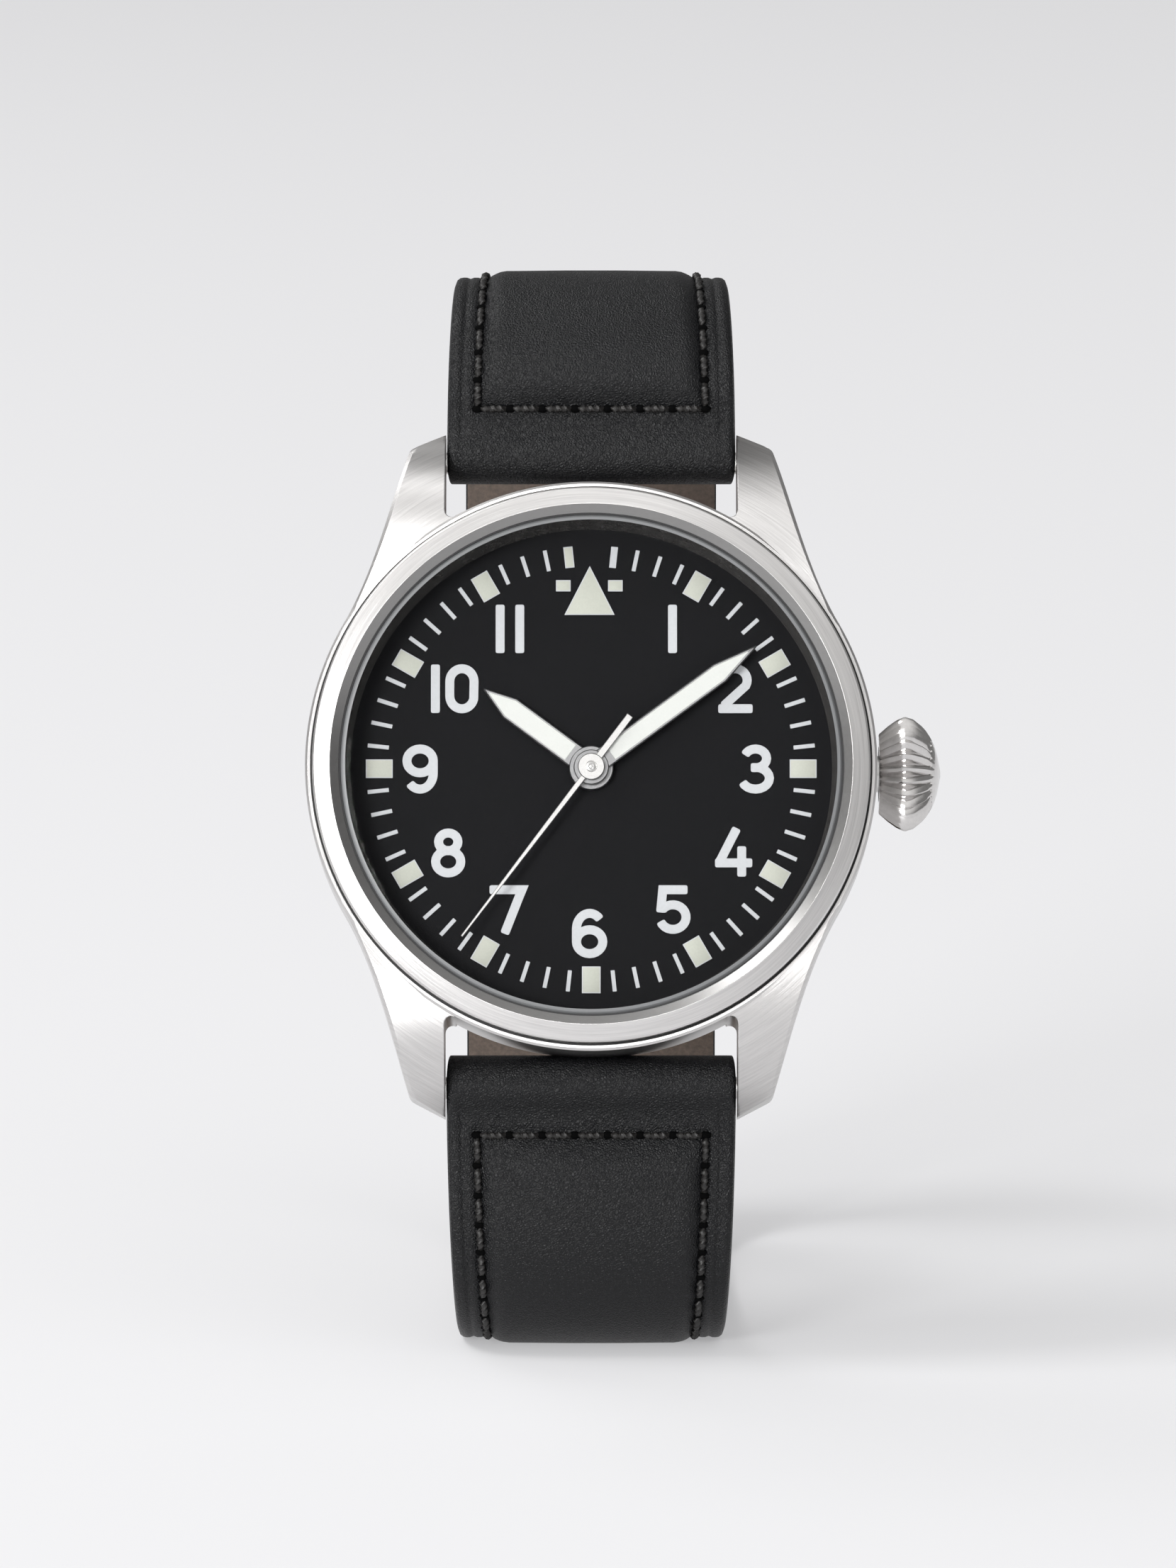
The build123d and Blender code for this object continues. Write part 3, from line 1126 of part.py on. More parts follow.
def centre_wheel():
    """Wheel, pinion and the tube that carries the cannon pinion above the plate."""
    wheel_r = pair_radii(THIRD_DISTANCE, CENTRE_TEETH, THIRD_PINION_TEETH)[0]
    pinion_r = pair_radii(BARREL_DISTANCE, CENTRE_PINION_TEETH, BARREL_TEETH)[0]
    body = wheel(CENTRE_TEETH, wheel_r, CENTRE_WHEEL_Z, (0, 0), THIRD_ANGLE, 2 * CENTRE_TUBE_R)
    body += round_bar(CENTRE_TUBE_R, BARREL_LOW, CANNON_LEAF_HIGH)
    toward = bearing((0, 0), BARREL_AT)
    body += pinion(CENTRE_PINION_TEETH, pinion_r, BARREL_LOW, BARREL_LOW + PINION_THICK, (0, 0), toward)
    return body - round_bar(CENTRE_TUBE_BORE_R, BARREL_LOW - OVERRUN, OVERRUN)


def third_wheel():
    wheel_r, mate_r = pair_radii(THIRD_DISTANCE, THIRD_TEETH, FOURTH_PINION_TEETH)
    pinion_r = pair_radii(THIRD_DISTANCE, THIRD_PINION_TEETH, CENTRE_TEETH)[0]
    home = bearing(THIRD_AT)
    body = wheel(THIRD_TEETH, wheel_r, THIRD_WHEEL_Z, THIRD_AT, home, 2 * ARBOR_R)
    low = CENTRE_WHEEL_Z - PINION_THICK / 2
    body += pinion(THIRD_PINION_TEETH, pinion_r, low, low + PINION_THICK, THIRD_AT, home)
    return body + round_bar(ARBOR_R, TRAIN_BRIDGE_LOW, PLATE_TOP, THIRD_AT)


def fourth_wheel():
    """The seconds wheel, whose long arbor runs through the centre tube to the seconds hand."""
    wheel_r = pair_radii(ESCAPE_DISTANCE, FOURTH_TEETH, ESCAPE_PINION_TEETH)[0]
    pinion_r = pair_radii(THIRD_DISTANCE, FOURTH_PINION_TEETH, THIRD_TEETH)[0]
    body = wheel(FOURTH_TEETH, wheel_r, FOURTH_WHEEL_Z, (0, 0), ESCAPE_ANGLE, 2 * ARBOR_R)
    top = FOURTH_WHEEL_Z
    body += pinion(FOURTH_PINION_TEETH, pinion_r, top - PINION_THICK, top, (0, 0), THIRD_ANGLE)
    return body + round_bar(SECONDS_ARBOR_R, TRAIN_BRIDGE_LOW, SECONDS_ARBOR_TOP)


def escape_wheel():
    """Fifteen hooked teeth on a light spoked wheel, driven by its pinion."""
    pitch_r = ESCAPE_R / (1 + TIP_SHARE * 2 / ESCAPE_TEETH)
    outline = toothed(ESCAPE_TEETH, pitch_r, PALLET_LINE_ANGLE, ESCAPE_LEAN_SHARE)
    outline = spoked(outline, ESCAPE_R - RIM_WIDTH / 2, 2 * ARBOR_R)
    body = slab(outline, ESCAPE_WHEEL_Z, ESCAPE_WHEEL_Z + WHEEL_THICK)
    pinion_r = pair_radii(ESCAPE_DISTANCE, ESCAPE_PINION_TEETH, FOURTH_TEETH)[0]
    low = FOURTH_WHEEL_Z - WHEEL_THICK / 2
    body += pinion(ESCAPE_PINION_TEETH, pinion_r, low, low + 2 * WHEEL_THICK, (0, 0), bearing(ESCAPE_AT))
    body += round_bar(PINION_ARBOR_R, TRAIN_BRIDGE_LOW, PLATE_TOP)
    return Pos(ESCAPE_AT[0], ESCAPE_AT[1], 0) * body


def pallet_fork():
    """The anchor with its two stones and the fork that embraces the impulse pin."""
    low = ESCAPE_WHEEL_Z - PALLET_THICK / 4
    lever = Pos(PALLET_LEVER / 2, 0) * Rectangle(PALLET_LEVER, PALLET_ARM_WIDTH)
    plan = Circle(PALLET_ARM_WIDTH) + Rectangle(PALLET_ARM_WIDTH, 2 * PALLET_STONE_REACH) + lever
    horn = Rectangle(PALLET_HORN, PALLET_HORN_WIDTH)
    stone = Rectangle(PALLET_STONE_LENGTH, PALLET_STONE_WIDTH)
    for side in (1, -1):
        plan += Pos(PALLET_LEVER + PALLET_HORN / 2, side * PALLET_HORN_OUT) * horn
        stone_y = PALLET_STONE_REACH - PALLET_STONE_WIDTH / 2
        plan += Pos(-PALLET_STONE_LENGTH / 2, side * stone_y) * stone
    plan += Pos(PALLET_LEVER, 0) * Rectangle(PALLET_HORN_WIDTH, 2 * PALLET_HORN_OUT + PALLET_HORN_WIDTH)
    body = Rot(0, 0, PALLET_LINE_ANGLE) * slab(plan, low, low + PALLET_THICK)
    body += round_bar(PINION_ARBOR_R, PALLET_BRIDGE_LOW, PLATE_TOP)
    return Pos(PALLET_AT[0], PALLET_AT[1], 0) * body


def balance_wheel():
    """Rim, two arms, staff, and the roller with its impulse pin."""
    plan = Circle(BALANCE_R) - Circle(BALANCE_R - BALANCE_RIM)
    plan += Rectangle(2 * BALANCE_R - BALANCE_RIM, BALANCE_ARM) + Circle(BALANCE_BOSS_R)
    body = slab(plan, BALANCE_LOW, BALANCE_HIGH)
    body += round_bar(ROLLER_R, ROLLER_LOW, ROLLER_HIGH)
    pin_at = polar(IMPULSE_PIN_REACH, PALLET_LINE_ANGLE + 180)
    body += round_bar(IMPULSE_PIN_R, ROLLER_HIGH, IMPULSE_PIN_HIGH, pin_at)
    body += round_bar(ARBOR_R, COCK_LOW, PLATE_TOP)
    return Pos(BALANCE_AT[0], BALANCE_AT[1], 0) * body


def hairspring():
    """The balance spring, wound from the collet on the staff out towards the cock."""
    strip = wound_strip(
        HAIRSPRING_INNER_R,
        HAIRSPRING_PITCH,
        HAIRSPRING_TURNS,
        HAIRSPRING_THICK,
        HAIRSPRING_LOW,
        HAIRSPRING_HIGH,
        BALANCE_AT,
    )
    collet = slab(Circle(HAIRSPRING_INNER_R) - Circle(ARBOR_R), HAIRSPRING_LOW, HAIRSPRING_HIGH)
    return strip + Pos(BALANCE_AT[0], BALANCE_AT[1], 0) * collet


# Motion work under the dial


def cannon_pinion():
    pinion_r = pair_radii(MOTION_DISTANCE, CANNON_TEETH, MINUTE_WHEEL_TEETH)[0]
    body = pinion(CANNON_TEETH, pinion_r, CANNON_LOW, CANNON_LEAF_HIGH, (0, 0), MOTION_ANGLE)
    body += round_bar(CANNON_R, CANNON_LOW, CANNON_TOP)
    body -= round_bar(CANNON_BORE_R, CANNON_LOW - OVERRUN, CANNON_LEAF_HIGH + PART_GAP)
    return body - round_bar(CENTRE_TUBE_BORE_R, CANNON_LOW, CANNON_TOP + OVERRUN)


def minute_wheel():
    wheel_r = pair_radii(MOTION_DISTANCE, MINUTE_WHEEL_TEETH, CANNON_TEETH)[0]
    pinion_r = pair_radii(MOTION_DISTANCE, MINUTE_PINION_TEETH, HOUR_WHEEL_TEETH)[0]
    home = bearing(MOTION_AT)
    body = wheel(MINUTE_WHEEL_TEETH, wheel_r, MINUTE_WHEEL_Z, MOTION_AT, home, 2 * ARBOR_R, 0)
    body += pinion(MINUTE_PINION_TEETH, pinion_r, MINUTE_WHEEL_Z, MINUTE_PINION_HIGH, MOTION_AT, home)
    return body - round_bar(ARBOR_R + RUNNING_GAP, PLATE_TOP, 0, MOTION_AT)


def minute_wheel_post():
    """The fixed post in the plate on which the minute wheel turns."""
    return round_bar(ARBOR_R, PLATE_UNDER, MINUTE_PINION_HIGH, MOTION_AT)


def hour_wheel():
    wheel_r = pair_radii(MOTION_DISTANCE, HOUR_WHEEL_TEETH, MINUTE_PINION_TEETH)[0]
    body = wheel(HOUR_WHEEL_TEETH, wheel_r, HOUR_WHEEL_Z, (0, 0), MOTION_ANGLE, 2 * HOUR_PIPE_BORE_R)
    body += round_bar(HOUR_PIPE_R, HOUR_WHEEL_Z, HOUR_PIPE_TOP)
    return body - round_bar(HOUR_PIPE_BORE_R, HOUR_WHEEL_Z - OVERRUN, HOUR_PIPE_TOP + OVERRUN)


# Hands, drawn pointing to 12 and turned to their time


def sword(width, shoulder, length, point, start):
    """A straight blade that tapers from its shoulder to a narrow point."""
    half = width / 2
    corners = [(-half, start), (half, start), (half, shoulder), (point / 2, length), (-point / 2, length)]
    corners.append((-half, shoulder))
    return Polygon(*corners, align=None)


def hand_lume_outline(width, shoulder, length):
    rail_point = length - HAND_RAIL * HAND_TIP_RAILS
    return sword(width - 2 * HAND_RAIL, shoulder, rail_point, HAND_POINT / 2, HAND_LUME_START)


def filled_hand(width, shoulder, length, hub_r, bore_r, low, high, angle):
    blade = sword(width, shoulder, length, HAND_POINT, 0) + Circle(hub_r)
    blade -= hand_lume_outline(width, shoulder, length) + Circle(bore_r)
    return Rot(0, 0, -angle) * slab(blade, low, high)


def hour_hand():
    return filled_hand(
        HOUR_WIDTH, HOUR_SHOULDER, HOUR_LENGTH, HOUR_HUB_R, HOUR_PIPE_R, HOUR_HAND_LOW, HOUR_HAND_HIGH, HOUR_ANGLE
    )


def hour_hand_lume():
    fill = hand_lume_outline(HOUR_WIDTH, HOUR_SHOULDER, HOUR_LENGTH)
    return Rot(0, 0, -HOUR_ANGLE) * slab(fill, HOUR_HAND_LOW, HOUR_HAND_HIGH)


def minute_hand():
    return filled_hand(
        MINUTE_WIDTH,
        MINUTE_SHOULDER,
        MINUTE_LENGTH,
        MINUTE_HUB_R,
        CANNON_R,
        MINUTE_HAND_LOW,
        MINUTE_HAND_HIGH,
        MINUTE_ANGLE,
    )


def minute_hand_lume():
    fill = hand_lume_outline(MINUTE_WIDTH, MINUTE_SHOULDER, MINUTE_LENGTH)
    return Rot(0, 0, -MINUTE_ANGLE) * slab(fill, MINUTE_HAND_LOW, MINUTE_HAND_HIGH)


def seconds_hand():
    """A thin tapered needle with a plain counterweight."""
    needle = sword(SECONDS_WIDTH, SECONDS_HUB_R, SECONDS_LENGTH, SECONDS_POINT, 0)
    tail = Pos(0, -SECONDS_TAIL / 2) * Rectangle(SECONDS_TAIL_WIDTH, SECONDS_TAIL)
    plan = needle + tail + Circle(SECONDS_HUB_R) - Circle(SECONDS_ARBOR_R)
    return Rot(0, 0, -SECONDS_ANGLE) * slab(plan, SECONDS_HAND_LOW, SECONDS_HAND_HIGH)


# The strap, as it stands


def standing(dial_y, dial_z):
    """A place in the head, given across the dial, as (back, up) in the leaning watch."""
    lean = radians(LEAN_ANGLE)
    return (dial_y * sin(lean) - dial_z * cos(lean), dial_y * cos(lean) + dial_z * sin(lean))


def smooth_share(value):
    value = min(max(value, 0.0), 1.0)
    return value * value * (3 - 2 * value)


def strap_line(half):
    """The outer line of a strap half, from its spring bar to its free end."""
    if half == "upper":
        start = standing(STRAP_BAR_Y, STRAP_BAR_Z + STRAP_EYE_R)
        corners = [UPPER_FRONT_CORNER, UPPER_BACK_CORNER, (UPPER_BACK_CORNER[0], BUCKLE_BAR_Z)]
        radii = [UPPER_FRONT_R, UPPER_BACK_R]
    else:
        start = standing(-STRAP_BAR_Y, STRAP_BAR_Z + STRAP_EYE_R)
        corners = [LOWER_FRONT_CORNER, LOWER_BACK_CORNER, (LOWER_BACK_CORNER[0], TAIL_TIP_Z)]
        radii = [LOWER_FRONT_R, LOWER_BACK_R]
    return FilletPolyline(start, *corners, radius=radii)


def strap_measures(half, along):
    """Width, thickness at the pad and height of the pad, at a length along the strap."""
    end_thick = STRAP_THICK_UPPER_END if half == "upper" else STRAP_THICK_LOWER_END
    width = STRAP_WIDTH - (STRAP_WIDTH - STRAP_NARROW) * smooth_share(along / STRAP_TAPER_LENGTH)
    thick = STRAP_THICK_LUG - (STRAP_THICK_LUG - end_thick) * smooth_share(along / STRAP_THIN_LENGTH)
    rise = smooth_share(along / PAD_RISE_LENGTH)
    fade = 1 - smooth_share((along - PAD_LENGTH) / PAD_FADE_LENGTH)
    return width, thick, PAD_PROUD * rise * fade


def leather_section(width, thick, pad):
    """Flat wings with bevelled edges, a raised pad between them and a flat underside."""
    half = width / 2
    inner = thick - LINING_THICK - GLUE_LINE
    right = [(half, inner), (half, pad + LEATHER_EDGE), (half - LEATHER_EDGE, pad)]
    right += [(half - PAD_FOOT_INSET, pad), (half - PAD_TOP_INSET, 0)]
    left = [(-x, y) for x, y in reversed(right)]
    return Polygon(*(right + left), align=None)


def lining_section(width, thick, pad):
    half = width / 2
    corners = [(-half, thick), (half, thick), (half, thick - LINING_THICK), (-half, thick - LINING_THICK)]
    return Polygon(*corners, align=None)


def swept_strap(half, section):
    """A section carried along a strap half, tapering as it goes: one loft for each run and bend."""
    flip = 1 if half == "upper" else -1
    pieces = []
    passed = 0.0
    for edge in strap_line(half).wire().order_edges():
        sections = []
        for index in range(STRAP_STATIONS):
            share = index / (STRAP_STATIONS - 1)
            point = edge.position_at(share)
            way = edge.tangent_at(share)
            plane = Plane(origin=(0, point.X, point.Y), x_dir=(1, 0, 0), z_dir=(0, flip * way.X, flip * way.Y))
            sections.append(plane * section(*strap_measures(half, passed + share * edge.length)))
        pieces.append(loft(sections))
        passed += edge.length
    body = pieces[0]
    for piece in pieces[1:]:
        body += piece
    return body


def strap_bar_place(side):
    return standing(side * STRAP_BAR_Y, STRAP_BAR_Z)


def strap_eye(side, length):
    """The leather folded round a spring bar."""
    back, up = strap_bar_place(side)
    return cross_bar(STRAP_EYE_R, -length / 2, length / 2, up, back)


def strap_upper():
    """The outer leather of the 12 o'clock half, folded round the spring bar and the buckle bar."""
    body = swept_strap("upper", leather_section)
    body += strap_eye(1, STRAP_WIDTH)
    body += cross_bar(BUCKLE_EYE_R, -STRAP_NARROW / 2, STRAP_NARROW / 2, BUCKLE_BAR_Z, BUCKLE_BAR_Y)
    back, up = strap_bar_place(1)
    body -= cross_bar(STRAP_BAR_R + RUNNING_GAP, -STRAP_WIDTH, STRAP_WIDTH, up, back)
    body -= cross_bar(BUCKLE_BAR_R + PART_GAP, -STRAP_WIDTH, STRAP_WIDTH, BUCKLE_BAR_Z, BUCKLE_BAR_Y)
    slot_low = BUCKLE_BAR_Z - BUCKLE_EYE_R - OVERRUN
    slot = Box(TONGUE_SLOT, 2 * BUCKLE_INNER_HALF, TONGUE_SLOT_RISE + BUCKLE_EYE_R + OVERRUN)
    middle = (slot_low + BUCKLE_BAR_Z + TONGUE_SLOT_RISE) / 2
    return body - Pos(0, BUCKLE_BAR_Y, middle) * slot


def strap_upper_lining():
    """The thin leather that faces the wrist, stopping short of both folds."""
    back, up = strap_bar_place(1)
    body = swept_strap("upper", lining_section)
    body -= cross_bar(STRAP_EYE_R + LINING_END_GAP, -STRAP_WIDTH, STRAP_WIDTH, up, back)
    fold_r = BUCKLE_EYE_R + LINING_END_GAP
    body -= cross_bar(fold_r, -STRAP_WIDTH, STRAP_WIDTH, BUCKLE_BAR_Z, BUCKLE_BAR_Y)
    return body.solids().sort_by(SortBy.VOLUME)[-1]


def floor_cut():
    size = 4 * LOOP_DROP
    return Pos(0, 0, -LOOP_DROP - size / 2) * Box(size, size, size)


def strap_lower():
    """The outer leather of the 6 o'clock half, with its holes, rounded tail and standing flat."""
    body = swept_strap("lower", leather_section)
    body += strap_eye(-1, STRAP_WIDTH)
    back, up = strap_bar_place(-1)
    body -= cross_bar(STRAP_BAR_R + RUNNING_GAP, -STRAP_WIDTH, STRAP_WIDTH, up, back)
    return tail_cuts(body - floor_cut())


def tail_cuts(body):
    """Adjustment holes, the slot worn by the tongue in use, and the rounded tip."""
    deep = 2 * STRAP_THICK_LUG
    face = Pos(0, LOWER_BACK_CORNER[0] + deep / 2, BUCKLE_BAR_Z) * Rot(90, 0, 0)
    slot_height = TAIL_SLOT_TOP - TAIL_SLOT_FOOT
    slot = Pos(0, (TAIL_SLOT_TOP + TAIL_SLOT_FOOT) / 2) * Rot(0, 0, 90) * SlotOverall(slot_height, TAIL_SLOT_WIDTH)
    cuts = slot
    for index in range(-TAIL_HOLES_BELOW, TAIL_HOLES_ABOVE + 1):
        if index:
            cuts += Pos(0, index * TAIL_HOLE_PITCH) * Circle(TAIL_HOLE_R)
    body -= face * extrude(cuts, 2 * deep, both=True)
    tip_top = TAIL_TIP_Z - BUCKLE_BAR_Z
    block = Pos(0, tip_top) * Rectangle(2 * STRAP_WIDTH, 2 * TAIL_TIP_R)
    shank = Pos(0, -TAIL_TIP_R) * Rectangle(STRAP_WIDTH, 2 * TAIL_TIP_R)
    keep = Pos(0, tip_top - TAIL_TIP_R) * (Circle(TAIL_TIP_R) + shank)
    return body - face * extrude(block - keep, 2 * deep, both=True)


def strap_lower_lining():
    """The thin leather that faces the wrist, from the spring bar's fold to the tip of the tail."""
    back, up = strap_bar_place(-1)
    body = swept_strap("lower", lining_section)
    body -= cross_bar(STRAP_EYE_R + LINING_END_GAP, -STRAP_WIDTH, STRAP_WIDTH, up, back)
    return tail_cuts(body.solids().sort_by(SortBy.VOLUME)[-1])


def keeper(low):
    """A leather loop that goes round both layers of the strap."""
    inner_y = UPPER_BACK_CORNER[0] - STRAP_THICK_UPPER_END - KEEPER_GAP
    outer_y = LOWER_BACK_CORNER[0] + KEEPER_GAP
    inner_width = STRAP_NARROW + 2 * KEEPER_GAP
    depth = outer_y - inner_y
    outer_round = KEEPER_ROUND + KEEPER_WALL / 2
    outer = RectangleRounded(inner_width + 2 * KEEPER_WALL, depth + 2 * KEEPER_WALL, outer_round)
    inner = RectangleRounded(inner_width, depth, KEEPER_ROUND)
    return Pos(0, (inner_y + outer_y) / 2, 0) * slab(outer - inner, low, low + KEEPER_HEIGHT)


def fixed_keeper():
    return keeper(FIXED_KEEPER_Z)


def sliding_keeper():
    return keeper(SLIDING_KEEPER_Z)


def buckle_frame():
    """Two arms from the hinge bar to the cross bar that the tongue rests on."""
    hinge = (BUCKLE_BAR_Y, BUCKLE_BAR_Z)
    cross = (BUCKLE_CROSS_Y, BUCKLE_CROSS_Z)
    side = bar_between(hinge, cross, BUCKLE_HINGE_R, BUCKLE_CROSS_R)
    side -= Pos(*hinge) * Circle(BUCKLE_BAR_R)
    arm = Pos(BUCKLE_INNER_HALF, 0, 0) * extrude(Plane.YZ * side, BUCKLE_ARM)
    body = arm + mirror(arm, Plane.YZ)
    half = BUCKLE_INNER_HALF
    return body + cross_bar(BUCKLE_CROSS_R, -half, half, BUCKLE_CROSS_Z, BUCKLE_CROSS_Y)


def buckle_bar():
    half = BUCKLE_INNER_HALF + BUCKLE_ARM + BUCKLE_BAR_STAND
    return cross_bar(BUCKLE_BAR_R, -half, half, BUCKLE_BAR_Z, BUCKLE_BAR_Y)


def buckle_tongue():
    """A bent pin with an eye round the hinge bar, out through the tail's hole to the cross bar."""
    hinge = (BUCKLE_BAR_Y, BUCKLE_BAR_Z)
    path = FilletPolyline(hinge, (TONGUE_BEND_Y, TONGUE_BEND_Z), (TONGUE_TIP_Y, TONGUE_TIP_Z), radius=[TONGUE_BEND_R])
    side = trace(path.edges(), line_width=TONGUE_THICK) + Pos(*hinge) * Circle(TONGUE_EYE_R)
    side -= Pos(*hinge) * Circle(BUCKLE_BAR_R + PART_GAP)
    return extrude(Plane.YZ * side, TONGUE_WIDTH / 2, both=True)


HEAD_PARTS = [
    case_middle,
    bezel,
    crystal,
    crystal_gasket,
    rehaut_ring,
    dial,
    lume_plots,
    case_back,
    case_back_gasket,
    movement_ring,
    casing_clamps,
    crown_tube,
    spring_bars,
    main_plate,
    barrel_bridge,
    train_bridge,
    balance_cock,
    pallet_bridge,
    bridge_screws,
    crown,
    crown_gasket,
    winding_stem,
    winding_pinion,
    sliding_pinion,
    crown_wheel,
    ratchet_wheel,
    click,
    setting_lever,
    barrel,
    barrel_arbor,
    mainspring,
    centre_wheel,
    third_wheel,
    fourth_wheel,
    escape_wheel,
    pallet_fork,
    balance_wheel,
    hairspring,
    cannon_pinion,
    minute_wheel,
    minute_wheel_post,
    hour_wheel,
    hour_hand,
    hour_hand_lume,
    minute_hand,
    minute_hand_lume,
    seconds_hand,
]
STRAP_PARTS = [
    strap_upper,
    strap_upper_lining,
    strap_lower,
    strap_lower_lining,
    fixed_keeper,
    sliding_keeper,
    buckle_frame,
    buckle_bar,
    buckle_tongue,
]

for make in HEAD_PARTS:
    export_step(HEAD_SEAT * make(), f"parts/{make.__name__}.step")
for make in STRAP_PARTS:
    export_step(STRAP_SEAT * make(), f"parts/{make.__name__}.step")
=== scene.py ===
import math

import bmesh
import bpy
from mathutils import Matrix, Vector


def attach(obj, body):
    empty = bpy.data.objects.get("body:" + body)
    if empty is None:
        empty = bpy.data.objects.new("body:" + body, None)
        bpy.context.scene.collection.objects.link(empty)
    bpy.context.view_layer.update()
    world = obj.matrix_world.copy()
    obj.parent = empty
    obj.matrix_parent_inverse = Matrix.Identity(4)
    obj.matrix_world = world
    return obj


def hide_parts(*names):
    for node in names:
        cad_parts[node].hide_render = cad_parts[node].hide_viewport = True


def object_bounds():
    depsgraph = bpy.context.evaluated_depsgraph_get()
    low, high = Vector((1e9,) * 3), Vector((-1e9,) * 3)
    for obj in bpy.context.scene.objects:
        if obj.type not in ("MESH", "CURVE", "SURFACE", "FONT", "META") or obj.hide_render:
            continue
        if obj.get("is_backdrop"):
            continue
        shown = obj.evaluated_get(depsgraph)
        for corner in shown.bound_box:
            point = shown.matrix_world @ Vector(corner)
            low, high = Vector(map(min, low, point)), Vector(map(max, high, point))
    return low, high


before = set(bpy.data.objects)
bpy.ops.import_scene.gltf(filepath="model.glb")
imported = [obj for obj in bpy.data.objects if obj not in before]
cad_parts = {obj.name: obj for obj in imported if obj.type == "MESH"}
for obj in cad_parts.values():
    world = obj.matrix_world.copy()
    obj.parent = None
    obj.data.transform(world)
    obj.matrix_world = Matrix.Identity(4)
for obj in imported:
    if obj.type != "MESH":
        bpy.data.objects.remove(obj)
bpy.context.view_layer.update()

# The view: the watch stands on its strap and is seen from a little above, square to the dial from left to
# right, through a long lens at arm's length.
DIAL_CENTRE = Vector((0.0, -0.023, 0.0407))
VIEW_FALL = math.radians(8.0)
VIEW_DISTANCE = 0.8
VIEW_LENS = 268.9
VIEW_LEFT = 0.00022
VIEW_BELOW = 0.00104


def placed(name, data):
    """A new object of that data in the scene."""
    made = bpy.data.objects.new(name, data)
    bpy.context.scene.collection.objects.link(made)
    return made


view_back = Vector((0.0, -math.cos(VIEW_FALL), math.sin(VIEW_FALL)))
view_up = Vector((0.0, math.sin(VIEW_FALL), math.cos(VIEW_FALL)))
camera_data = bpy.data.cameras.new("view")
camera_data.sensor_width = 36.0
camera_data.lens = VIEW_LENS
camera_data.clip_start = 0.01
camera_data.clip_end = 50.0
camera = placed("view", camera_data)
camera.location = DIAL_CENTRE - Vector((VIEW_LEFT, 0, 0)) - view_up * VIEW_BELOW + view_back * VIEW_DISTANCE
camera.rotation_euler = (math.radians(90.0) - VIEW_FALL, 0.0, 0.0)
bpy.context.scene.camera = camera
bpy.context.scene.view_settings.view_transform = "Standard"

# The table: one seamless pale sheet of paper that runs on behind the watch past the edge of the view. Seen
# straight, through the crystal or mirrored in steel, it glows a little, so that it stays as pale as paper.
PAPER_COLOUR = (0.81, 0.81, 0.825, 1.0)
PAPER_GLOW = (0.91, 0.91, 0.925, 1.0)
PAPER_GLOW_SHARE = 0.38
PAPER_SIZE = 4.0


def feed(node, inputs):
    """Gives the node's inputs, by name or number, a value, an output, or another node's first output."""
    for socket, source in inputs.items():
        if isinstance(source, bpy.types.Node):
            source = source.outputs[0]
        if isinstance(source, bpy.types.NodeSocket):
            node.id_data.links.new(source, node.inputs[socket])
        else:
            node.inputs[socket].default_value = source
    return node


def add(nodes, kind, inputs=None, operation=None):
    """A new shader node of that kind, its inputs fed."""
    node = nodes.new("ShaderNode" + kind)
    if operation:
        node.operation = operation
    return feed(node, inputs or {})


def blank(name):
    """A new material, its nodes and its plain shader."""
    material = bpy.data.materials.new(name)
    material.use_nodes = True
    nodes = material.node_tree.nodes
    return material, nodes, nodes["Principled BSDF"]


def mesh_of(name, bm):
    """The mesh that bm has become."""
    mesh = bpy.data.meshes.new(name)
    bm.to_mesh(mesh)
    bm.free()
    return mesh


paper, nodes, skin = blank("paper")
feed(skin, {"Base Color": PAPER_COLOUR, "Roughness": 0.8})
seen = add(nodes, "LightPath").outputs
straight = add(nodes, "Math", {0: seen["Is Camera Ray"], 1: seen["Is Transmission Ray"]}, "MAXIMUM")
mirrored = add(nodes, "Math", {0: straight, 1: seen["Is Glossy Ray"]}, "MAXIMUM")
share = add(nodes, "Math", {0: mirrored, 1: PAPER_GLOW_SHARE}, "MULTIPLY")
both = add(nodes, "MixShader", {0: share, 1: skin, 2: add(nodes, "Emission", {"Color": PAPER_GLOW})})
feed(nodes["Material Output"], {"Surface": both})
bm = bmesh.new()
bmesh.ops.create_grid(bm, x_segments=1, y_segments=1, size=PAPER_SIZE)
table = placed("table", mesh_of("paper", bm))
table.data.materials.append(paper)
table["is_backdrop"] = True

# The light: three soft windows, one at the left, one low in front and one behind, in a room that is bright in front
# and overhead and dim elsewhere, so that steel keeps its dark lines. Past the paper the view sees the paper's colour.
ROOM_DIM = 0.24
ROOM_FRONT = 1.0
ROOM_BRIGHT_WAY = (-0.18, -0.66, 0.73)
ROOM_DIM_FROM = 0.25
ROOM_BRIGHT_FROM = 0.96
world = bpy.data.worlds.new("room")
world.use_nodes = True
nodes = world.node_tree.nodes
faced = add(nodes, "VectorMath", {0: add(nodes, "TexCoord").outputs["Generated"], 1: ROOM_BRIGHT_WAY}, "DOT_PRODUCT")
glow_out = add(nodes, "MapRange", {"Value": faced.outputs["Value"], "From Min": ROOM_DIM_FROM,
                                   "From Max": ROOM_BRIGHT_FROM, "To Min": ROOM_DIM, "To Max": ROOM_FRONT})
glow_out.interpolation_type = "SMOOTHSTEP"
room = feed(nodes["Background"], {"Color": (1.0, 0.995, 0.99, 1.0), "Strength": glow_out})
behind = add(nodes, "Background", {"Color": PAPER_COLOUR})
either = add(nodes, "MixShader", {0: add(nodes, "LightPath").outputs["Is Camera Ray"], 1: room, 2: behind})
feed(nodes["World Output"], {"Surface": either})
bpy.context.scene.world = world

